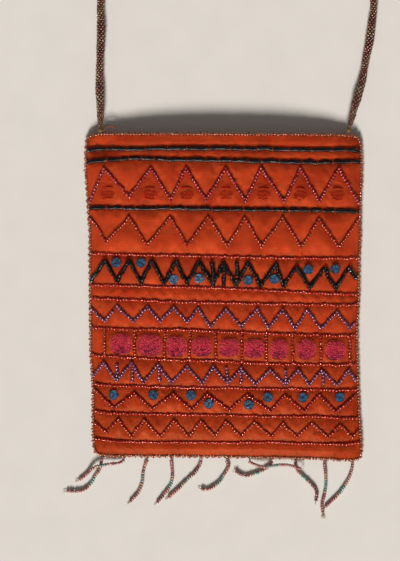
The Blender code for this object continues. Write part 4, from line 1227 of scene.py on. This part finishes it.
def make_back():
    """Back satin: flat where it rests, rolled up to the seams, turned under at the mouth."""
    rows = BACK_LIP_SHARE + (1 - BACK_LIP_SHARE) * drawn_to_ends(130)
    across, down, rise = with_turning(BACK_TURNING, drawn_to_ends(110), rows, 0)
    x, y = place(across, down)
    crumple = np.clip(CRUMPLE_RISE * wander(x, y, CRUMPLE_STEP, SEED + 1), 0, 1)
    crumple = crumple * np.clip(rim_distance(across, down) / RIM_FADE, 0, 1)
    heights = back_height(across, down) + CLOTH_THICKNESS / 2 + crumple + rise
    finish = satin("orange_silk_satin_back", "9C2E16", "C64C24")
    return cloth_sheet("back_satin", across, down, heights, CLOTH_THICKNESS, finish,
                       "orange_satin", "back_panel")


def make_linings():
    """What stiffens and lines the pouch, seen only through the mouth."""
    buckram = plain_weave("buckram_sized_linen", "B4A68A", "D2C8B0", 0.0006)
    cotton = plain_weave("lining_cotton", "6E2214", "94382A", 0.0005)

    def layer(name, margin_shares, height_at, thickness, finish, slot_name):
        side, mouth, hem = margin_shares
        columns = side + (1 - 2 * side) * np.linspace(0, 1, 80)
        rows = mouth + (1 - mouth - hem) * np.linspace(0, 1, 100)
        across, down = np.meshgrid(columns, rows, indexing="ij")
        return cloth_sheet(name + "_cloth", across, down, height_at(across, down), thickness,
                           finish, slot_name, name)

    def back_lining_height(across, down):
        ease = LINING_EASE * wander(*place(across, down), LINING_EASE_STEP, SEED + 2)
        return back_height(across, down) + BACK_LINING_RISE + LINING_THICKNESS / 2 + ease

    return [
        layer("front_interlining", (0.015, 0.012, 0.020),
              lambda across, down: plain_front_height(across, down) - INTERLINING_DEPTH,
              INTERLINING_THICKNESS, buckram, "buckram"),
        layer("front_lining", (0.040, 0.012, 0.060),
              lambda across, down: plain_front_height(across, down) - LINING_DEPTH,
              LINING_THICKNESS, cotton, "cotton_lining"),
        layer("back_lining", (0.040, 0.012, 0.050), back_lining_height, LINING_THICKNESS, cotton,
              "cotton_lining")]


# Beadwork

class Beadwork:
    """Strings of beads laid on the satin, and the stitches that couch them down."""

    def __init__(self, seed):
        self.random = np.random.default_rng(seed)
        self.stitches = Pile()
        arc = np.radians(np.linspace(-25, 205, 8))
        self.stitch = bent_thread([(0, 0.86 * math.cos(a), 0.86 * math.sin(a)) for a in arc], 0.14, 5)

    def spacing(self, total):
        """Ends of the beads along a run, which of them a stitch follows, and its room there."""
        few, many = BEADS_PER_COUCHING
        count = max(1, round(total / (BEAD_PITCH + 2 * COUCHING_ALLOWANCE / (few + many))))
        couched = np.zeros(count, bool)
        mark = int(self.random.integers(2, many))
        while mark < count - 1:
            couched[mark] = True
            mark += int(self.random.integers(few, many + 1))
        gaps = couched * COUCHING_ALLOWANCE / BEAD_PITCH
        pitches = self.random.uniform(0.97, 1.03, count) + gaps
        edges = np.concatenate([[0], np.cumsum(pitches)]) * total / pitches.sum()
        return edges, couched, gaps * total / pitches.sum()

    def string(self, pile, stops, corner_first, bead, diameter):
        """Beads along one straight or gently bent run, with a bead at its start if a corner."""
        random = self.random
        lift = diameter / 2 * BEAD_SEAT_SHARE
        stops = np.asarray(stops, float)
        shares = np.linspace(0, 1, 24)[:, None]
        line = on_front(np.vstack([a + (b - a) * shares for a, b in zip(stops, stops[1:])]))
        line = line[np.append(True, np.diff(walk(line)) > 1e-7)]
        total = walk(line)[-1]
        edges, couched, spare = self.spacing(total)
        goals = edges[:-1] if corner_first else (edges[:-1] + edges[1:] - spare) / 2
        count = len(goals)
        centres = at_lengths(line, goals)
        along = headings(line, goals)
        # From stitch to stitch the string bows a little downward
        stretch = np.cumsum(np.concatenate([[0], couched[:-1]]))
        starts = np.concatenate([[0], edges[1:][couched]])
        ends = np.concatenate([starts[1:], [total]])
        share = np.clip((goals - starts[stretch]) / (ends - starts)[stretch], 0, 1)
        bows = STRING_BOW * random.normal(0.3 if corner_first else 1.0, 0.6, len(starts))
        shift = random.normal(0, BEAD_SWAY, count) - bows[stretch] * np.sin(np.pi * share)
        centres = centres + np.cross(along, UP) * shift[:, None]
        centres[:, 2] += lift + random.normal(0, BEAD_UNEVEN, count)
        tilt = along + random.normal(0, 0.12, along.shape)
        lengths = BEAD_LENGTH * random.uniform(0.94, 1.04, count)
        widths = diameter / 2 * random.uniform(0.87, 1.09, count)
        pile.add_copies(bead, centres, tilt, lengths, widths, random.uniform(0, 1, count))
        thread = line[:: max(1, len(line) // 40)].copy()
        if np.linalg.norm(thread[-1] - line[-1]) > 1e-6:
            thread = np.vstack([thread, line[-1]])
        thread[:, 2] += lift
        if len(thread) > 2:
            pile.add(*bent_thread(thread, BEAD_THREAD_RADIUS, 5), 0.1)
        middles = (edges[1:] - spare / 2)[:-1][couched[:-1]]
        if len(middles):
            centre = at_lengths(line, middles)
            centre[:, 2] += lift * 0.9
            along = headings(line, middles)
            size = diameter / 2 * random.uniform(0.9, 1.1, len(middles))
            tints = random.uniform(0, 1, len(middles))
            lean = along + random.normal(0, 0.15, along.shape)
            self.stitches.add_copies(self.stitch, centre, lean, size, size, tints)

    def piece(self, name, runs, finish, slot_name):
        diameter = BEAD_DIAMETERS.get(name) or BEAD_DIAMETERS.get(slot_name, BEAD_DIAMETERS["plain"])
        bead = TUBE_BEAD if slot_name == "black_glass" else SEED_BEAD
        pile = Pile()
        for run, corner_first in runs:
            self.string(pile, run, corner_first, bead, diameter)
        return pile.make(name + "_beads", finish, slot_name, "pouch", name)


def make_beadwork():
    work = Beadwork(SEED)
    black = bead_glass("black_glass_beads", "010101", "030303", "FFFAFA",
                       depth=0, glance=0.42, coat=0, rubbed=0.08)
    red = bead_glass("garnet_glass_beads", "860C06", "A4200E", "FFC0AA")
    crimson = bead_glass("crimson_glass_beads", "7A0A14", "981824", "FFC0C4")
    copper = bead_glass("copper_glass_beads", "80120A", "A02C18", "F4BCA0")
    violet = bead_glass("violet_glass_beads", "48162C", "764060", "F8D0E0")
    ruby = bead_glass("ruby_glass_beads", "760A06", "96180E", "FFB4A8")
    made = []
    for name, shares in ROW_SHARES.items():
        finish, slot_name = (black, "black_glass") if name.startswith("black") else (red, "red_glass")
        made.append(work.piece(name, [(row_stops(shares), False)], finish, slot_name))
    runs = [(run, False) for run in [*LADDER_ROWS, *ladder_bars()]]
    made.append(work.piece("ladder_rows", runs, red, "red_glass"))
    finishes = {
        "crimson_zigzag": (crimson, "crimson_glass"), "copper_zigzag_upper": (copper, "copper_glass"),
        "black_zigzag": (black, "black_glass"), "violet_zigzag_upper": (violet, "violet_glass"),
        "violet_zigzag_lower": (violet, "violet_glass"), "red_zigzag": (ruby, "red_glass"),
        "copper_zigzag_lower": (copper, "copper_glass")}
    for name, stops in ZIGZAG_SHARES.items():
        runs = [(run, True) for run in zip(stops, stops[1:])]
        runs += [(bar, False) for bar in BAR_SHARES.get(name, ())]
        made.append(work.piece(name, runs, *finishes[name]))
    silk = spun_thread("couching_silk", "7E220E", "AE3E1C")
    return [*made, work.stitches.make("couching_stitches", silk, "red_thread", "pouch")]


def rim_line(out, drop):
    """A line round the pouch's rim, some way outside and under it: along the lip and the seams."""
    even = np.linspace(0, 1, 200)[:-1]
    none = np.zeros(199)
    across = np.concatenate([even, none + 1, 1 - even, none])
    down = np.concatenate([none, even, none + 1, 1 - even])
    x, y = place(across, down)
    ahead = np.column_stack([np.roll(x, -1) - np.roll(x, 1), np.roll(y, -1) - np.roll(y, 1)])
    outward = unit(np.column_stack([-ahead[:, 1], ahead[:, 0]]))
    line = np.column_stack([x + outward[:, 0] * out, y + outward[:, 1] * out,
                            crown_height(across, down) - drop])
    return np.vstack([line, line[:1]])


def make_edge():
    """Amber beads whipped round the rim, with a smaller one standing out at every other gap."""
    random = np.random.default_rng(SEED + 4)
    rim = rim_line(EDGE_BEAD_OUT, EDGE_BEAD_DROP)
    total = walk(rim)[-1]
    count = 2 * round(total / EDGE_BEAD_PITCH / 2)
    shares = (np.arange(count) + random.normal(0, 0.07, count)) / count
    shares = np.clip(shares, 0.0005, 0.9995)

    def along_rim(line, where):
        return at_lengths(line, where * walk(line)[-1])

    way = headings(rim, shares * total, 0.0008 * total)
    centres = along_rim(rim, shares) + random.normal(0, EDGE_BEAD_SWAY, (count, 3))
    widths = EDGE_BEAD_DIAMETER / 2 * random.uniform(0.85, 1.08, count)
    tilt = way + random.normal(0, 0.2, way.shape)
    tints = random.uniform(0, 1, count)
    lengths = 0.92 * EDGE_BEAD_PITCH * random.uniform(0.85, 1.05, count)
    pile = Pile()
    pile.add_copies(SEED_BEAD, centres, tilt, lengths, widths, tints)
    picots = (shares[::2] + shares[1::2]) / 2
    spots = along_rim(rim_line(PICOT_OUT, RIM_BEAD_DROP), picots)
    spots = spots + random.normal(0, PICOT_SWAY, spots.shape)
    tilt = way[::2] + random.normal(0, 0.25, spots.shape)
    widths = PICOT_BEAD_DIAMETER / 2 * random.uniform(0.85, 1.05, len(picots))
    tints = random.uniform(0.2, 1, len(picots))
    pile.add_copies(SEED_BEAD, spots, tilt, PICOT_BEAD_DIAMETER, widths, tints)
    amber = bead_glass("amber_glass_beads", "4E2014", "9A5034", "FFD8B8")
    beads = pile.make("edge_beads", amber, "amber_glass", "pouch", "edge_beading")
    # Whip stitches from the seam to the bead string
    stitches = Pile()
    feet = along_rim(rim_line(-EDGE_SEAM_IN, RIM_BEAD_DROP), shares)
    for foot, centre in zip(feet, centres):
        arch = [spot + UP * lift for spot, lift in zip((foot, (foot + centre) / 2, centre), WHIP_LIFTS)]
        stitches.add(*bent_thread(arch, WHIP_RADIUS, 4), random.uniform(0, 1))
    silk = spun_thread("whipping_silk", "5A2416", "93482E")
    return beads, stitches.make("edge_whipping", silk, "red_thread", "pouch")


def make_sequins():
    """Sixteen embossed sequins, each held by stitches through its middle."""
    random = np.random.default_rng(SEED + 5)
    pile = Pile()
    threads = Pile()
    radii = np.linspace(SEQUIN_HOLE, SEQUIN_RADIUS, 6)
    reach_x = SEQUIN_RADIUS / PANEL_WIDTH
    reach_y = SEQUIN_RADIUS / PANEL_HEIGHT
    for across, down in SEQUIN_SHARES:
        centre = on_front([(across, down)])[0]
        # It lies on the cloth: the slope comes from the heights at four places round its rim
        sides = on_front([(across + reach_x, down), (across - reach_x, down),
                          (across, down - reach_y), (across, down + reach_y)])
        slope_x = (sides[0][2] - sides[1][2]) / (sides[0][0] - sides[1][0])
        slope_y = (sides[2][2] - sides[3][2]) / (sides[2][1] - sides[3][1])
        top = max(centre[2], float(sides[:, 2].mean())) + SEQUIN_SEAT
        spin = random.uniform(0, 2 * np.pi)
        turns = spin + directions(SEQUIN_FACETS)
        emboss = SEQUIN_EMBOSS * random.uniform(-1, 1, (len(radii), SEQUIN_FACETS))
        outline = 1 + 0.03 * np.sin(3 * turns + spin)
        rings = []
        tints = []
        # Over its upper face from the hole outward, and back under it
        outward = range(len(radii))
        for layer, order in ((SEQUIN_THICKNESS, outward), (0, outward[::-1])):
            for ring in order:
                x = radii[ring] * outline * np.cos(turns + 0.2 * ring)
                y = radii[ring] * outline * np.sin(turns + 0.2 * ring)
                z = top + (slope_x * x + slope_y * y) / 2 + emboss[ring] + layer
                rings.append(np.column_stack([centre[0] + x, centre[1] + y, z]))
                rim = 0.5 * (ring == outward[-1])
                tints.append(np.clip(random.uniform(0, 1, SEQUIN_FACETS) - rim, 0, 1))
        faces = turned_over(ring_faces(len(rings), SEQUIN_FACETS, True))
        pile.add(np.vstack(rings), faces, np.concatenate(tints))
        for turn in spin + np.array([0.3, 2.4, 4.5]):
            out = np.array([math.cos(turn), math.sin(turn), 0])
            middle = np.array([centre[0], centre[1], top])
            stitch = [middle + out * reach + UP * lift for reach, lift in SEQUIN_STITCH]
            threads.add(*bent_thread(stitch, SEQUIN_STITCH_RADIUS, 5), random.uniform(0, 1))
    nodes = ["sequin_%02d" % (k + 1) for k in range(len(SEQUIN_SHARES))]
    foil = sequin_foil("blue_dyed_foil", "05121F", "326F9C")
    silk = spun_thread("sequin_silk", "06121E", "1C4462")
    return (pile.make("sequins", foil, "blue_sequin", "pouch", *nodes, smooth=False),
            threads.make("sequin_stitches", silk, "blue_sequin", "pouch"))


def round_edge(turns, width, height):
    """Distance from the middle of a rounded square to its edge, by direction."""
    power = 2.7
    return (np.abs(2 * np.cos(turns) / width) ** power
            + np.abs(2 * np.sin(turns) / height) ** power) ** (-1 / power)


def make_silk_rounds():
    """Nine rounded squares of silk, stitched in rings over a low pad and outlined."""
    random = np.random.default_rng(SEED + 6)
    pile = Pile()
    outlines = Pile()
    for (across, down), (width, height) in zip(PAD_SHARES, PAD_SIZES):
        centre = on_front([(across, down)])[0]

        def surface(x, y, lift=0):
            """Points over the pad, from places measured from its middle."""
            share = np.hypot(x, y) / round_edge(np.arctan2(y, x), width, height)
            dome = PAD_RISE * np.clip(1 - share ** 3, 0, 1)
            z = front_height(across + x / PANEL_WIDTH, down - y / PANEL_HEIGHT) + dome + lift
            return np.column_stack([centre[0] + x, centre[1] + y, z])

        # Under-stitching fills the gaps between the stitches
        turns = directions(28)
        wobble = 1 + 0.02 * np.sin(3 * turns + across * 40) + 0.02 * np.sin(5 * turns + across * 90)
        edge = round_edge(turns, width, height) * wobble
        rings = [surface(edge * step * np.cos(turns), edge * step * np.sin(turns), -PAD_BASE_SINK)
                 for step in (0.03, 0.25, 0.5, 0.72, 0.88, 0.97)]
        rings.append(rings[-1] - UP * PAD_BASE_DEPTH)
        pile.add(np.vstack(rings), turned_over(ring_faces(len(rings), len(turns))), 0.40)
        ring_count = round(min(width, height) / 2 / PAD_RING_STEP)
        for ring in range(ring_count):
            share = (ring + 0.6) / ring_count
            round_length = 2 * np.pi * share * (width + height) / 4
            stitch_count = max(3, round(round_length / (0.8 * PAD_STITCH)))
            for k in range(stitch_count):
                turn = 2 * np.pi * (k + random.uniform(0, 0.6)) / stitch_count + ring
                out = round_edge(turn, width, height) * min(0.99, share + random.normal(0, 0.02))
                x = out * math.cos(turn)
                y = out * math.sin(turn)
                heading = turn + math.pi / 2 + random.normal(0, 0.45)
                run = STITCH_RUN * PAD_STITCH / 2 * random.uniform(0.8, 1.2)
                lift = PAD_STITCH_LIFTS * random.uniform(0.8, 1.5)
                # The floss looks darker low down and near the middle
                dark = np.clip(1.5 * (0.5 - y / height) + 0.5 * (1 - share) - 0.80, 0, 1)
                dark = dark * random.uniform(0.1, 1.1)
                tint = np.clip(0.86 - 1.35 * dark + random.normal(0, 0.15), 0.02, 1)
                thread = surface(x + math.cos(heading) * run, y + math.sin(heading) * run, lift)
                pile.add(*bent_thread(thread, PAD_STITCH_RADIUS, 5), tint)
        # Outline of stem stitches, each lapping the next
        stitch_count = round(np.pi * (width + height) / 2 / BORDER_STITCH)
        for k in range(stitch_count):
            line = 2 * np.pi * (k + np.linspace(-0.15, 1.15, 5)) / stitch_count
            out = round_edge(line, width, height) * np.linspace(1.045, 1.085, 5)
            thread = surface(out * np.cos(line), out * np.sin(line), BORDER_STITCH_LIFTS)
            outlines.add(*bent_thread(thread, BORDER_STITCH_RADIUS, 5), random.uniform(0, 1))
    floss = silk_floss("magenta_silk_floss", (
        (0.0, "54122A"), (0.3, "90203A"), (0.6, "C8324C"), (0.85, "DC4056"), (1.0, "DE5050")))
    silk = spun_thread("border_silk", "962410", "C8502C", 0.5)
    return (pile.make("silk_rounds", floss, "pink_silk", "pouch"),
            outlines.make("silk_round_borders", silk, "red_thread", "pouch"))


def make_sprigs():
    """Under each crimson peak, a small oval in red silk: filled with upright stitches, with a
    darker arched line over it and a broken one under it."""
    random = np.random.default_rng(SEED + 8)
    pile = Pile()
    for across, down in SPRIG_SHARES:
        x0, y0 = place(across, down)

        def stitch(xs, ys, radius, tint):
            zs = front_height(across + xs / PANEL_WIDTH, down - ys / PANEL_HEIGHT) + radius * 0.6
            zs[[0, -1]] -= 2 * radius
            pile.add(*bent_thread(np.column_stack([x0 + xs, y0 + ys, zs]), radius, 5), tint)

        for x in np.arange(-0.46, 0.47, 0.066) * SPRIG_WIDTH:
            half = SPRIG_HEIGHT / 2 * math.sqrt(1 - (2 * x / SPRIG_WIDTH) ** 2)
            foot = -half * random.uniform(0.75, 1.05)
            head = half * random.uniform(0.6, 1.0)
            split = random.uniform(-0.3, 0.3) * half
            for low, high in ((foot, split), (split, head)):
                ys = np.linspace(low, high, 5)
                xs = x + random.normal(0, SPRIG_SWAY) + random.normal(0, 0.1) * (ys - ys.mean())
                stitch(xs, ys, SPRIG_STITCH_RADIUS, random.uniform(0.5, 1))
        arch = np.linspace(-1, 1, 9)
        xs = arch * SPRIG_WIDTH * random.uniform(0.32, 0.42) + random.normal(0, 2 * SPRIG_SWAY)
        rise = 0.62 + random.uniform(0.02, 0.12) * (1 - arch ** 2) + random.normal(0, 0.03) * arch
        stitch(xs, SPRIG_HEIGHT * rise, SPRIG_ARCH_RADIUS, 0.05)
        for middle in (-0.30, -0.06, 0.24):
            middle = middle + random.normal(0, 0.04)
            half = random.uniform(0.08, 0.17)
            xs = (middle + np.linspace(-half, half, 5)) * SPRIG_WIDTH
            fall = 0.52 + random.normal(0, 0.05) - 0.5 * (xs / SPRIG_WIDTH) ** 2
            stitch(xs, -SPRIG_HEIGHT * fall, SPRIG_FOOT_RADIUS, random.uniform(0, 0.3))
    silk = spun_thread("sprig_silk", "700A06", "AA200E", 0.8)
    return pile.make("stitched_sprigs", silk, "red_thread", "pouch")


# Fringe and loop

def make_fringe():
    """Eleven strings of beads from the hem, each with a teal stretch and a knotted tail."""
    random = np.random.default_rng(SEED + 9)
    glass = mixed_glass("lustred_fringe_beads", (
        (0.0, "7A4046"), (0.28, "AA6862"), (0.45, "C48A80"), (0.55, "B69880"), (0.72, "4E7E7C"),
        (1.0, "8EAEA8")), 0.2)
    root_height = RIM_HEIGHT - RIM_BEAD_DROP
    radius = STRAND_DIAMETER / 2
    for number, (across, stops) in enumerate(STRAND_SHARES, start=1):
        x, y = place(across, 1)
        root = np.array([x, y - PICOT_OUT, root_height])
        # Its stops are measured from where a straight hem would have it
        fall = np.interp(across, np.linspace(0, 1, len(HEM_FALL_SHARES)), HEM_FALL_SHARES)
        start_y = y + fall * PANEL_HEIGHT - RIM_BEAD_REACH
        route = [(x, start_y - STRAND_DIAMETER, root_height)]
        for sideways, outward, lift in stops:
            route.append((x + sideways * PANEL_WIDTH, start_y + outward * STRAND_REACH,
                          radius + lift * STRAND_DIAMETER))
        line = np.vstack([root, smooth_route(route, STRAND_STEP)])
        total = walk(line)[-1]
        count = round(total / STRAND_PITCH)
        goals = (np.arange(count) + 0.5) * total / count
        goals = np.clip(goals + random.normal(0, STRAND_BEAD_SWAY, count), 0, total)
        share = goals / total
        teal_start = random.uniform(0.34, 0.44)
        teal_end = teal_start + random.uniform(0.16, 0.26)
        teal = (share > teal_start) & (share < teal_end)
        pale = (np.abs(share - teal_start) < 0.03) | (np.abs(share - teal_end) < 0.03)
        tints = np.where(teal, random.uniform(0.62, 1.0, count), random.uniform(0.0, 0.45, count))
        tints = np.where(pale, 0.55, tints)
        widths = radius * random.uniform(0.94, 1.16, count)
        centres = at_lengths(line, goals)
        centres[:, 2] = np.maximum(centres[:, 2], widths)
        # The first bead is a small one, between the edge beads
        widths[0] = radius * 0.62
        tilt = headings(line, goals) + random.normal(0, 0.10, centres.shape)
        pile = Pile()
        pile.add_copies(SEED_BEAD, centres, tilt, STRAND_PITCH * 0.94, widths, tints)
        thread = even_points(line, STRAND_THREAD_STEP)
        pile.add(*bent_thread(thread, STRAND_THREAD_RADIUS, 5), 0.2)
        tail_length, tail_count = TUFTS.get(number, PLAIN_TAIL)
        tail = line[-1]
        heading = unit(tail - line[-5])
        for _ in range(tail_count):
            way = unit(heading + random.normal(0, 0.35, 3) * (1, 1, 0.3))
            reach = tail_length * random.uniform(0.7, 1.1)
            tip = tail + way * reach
            tip[2] = max(TAIL_LOWEST, tail[2] * 0.4)
            pile.add(*bent_thread([tail, tail + way * reach * 0.5, tip], TAIL_RADIUS, 4), 0.55)
        group = next(k for k, strands in enumerate(STRAND_GROUPS, start=1) if number in strands)
        pile.make("fringe_string_%02d" % number, glass, "fringe_glass",
                  "fringe_group_%d" % group, "fringe_%02d" % number)


def make_thread_loop():
    """A loose end of two-ply thread that stands in a low arch above the mouth."""
    middle = np.array([*place(THREAD_LOOP_SHARE, 0), crown_height(THREAD_LOOP_SHARE, 0)])
    middle = middle + (0, RIM_BEAD_REACH, -RIM_BEAD_DROP)
    line = smooth_route(middle + np.array(THREAD_LOOP_SHARES) * LOOP_SPAN, LOOP_STEP)
    _, sides, ups = rope_frames(line)
    pile = Pile()
    ply = LOOP_THREAD_DIAMETER / 4
    for phase in (0, np.pi):
        turn = (2 * np.pi * walk(line) / LOOP_TWIST + phase)[:, None]
        centre = line + ply * (np.cos(turn) * sides + np.sin(turn) * ups)
        pile.add(*bent_thread(centre, ply, 6), 0.4 + 0.2 * math.cos(phase))
    thread = spun_thread("loop_thread", "5A2A1C", "9A5A40")
    pile.make("mouth_thread_loop", thread, "red_thread", "pouch", "thread_loop")


make_camera()
rope, rope_route = make_strap()
ends = [*strap_end("left", STRAP_LEFT_SHARE, 0),
        *strap_end("right", STRAP_RIGHT_SHARE, STRAP_RIGHT_LEAN_SHARE)]
make_light()
make_floor()

front, front_cut = make_front()
back, back_cut = make_back()
linings = make_linings()
trimmings = [*make_beadwork(), *make_edge(), *make_sequins(), *make_silk_rounds(), make_sprigs()]
make_fringe()
make_thread_loop()
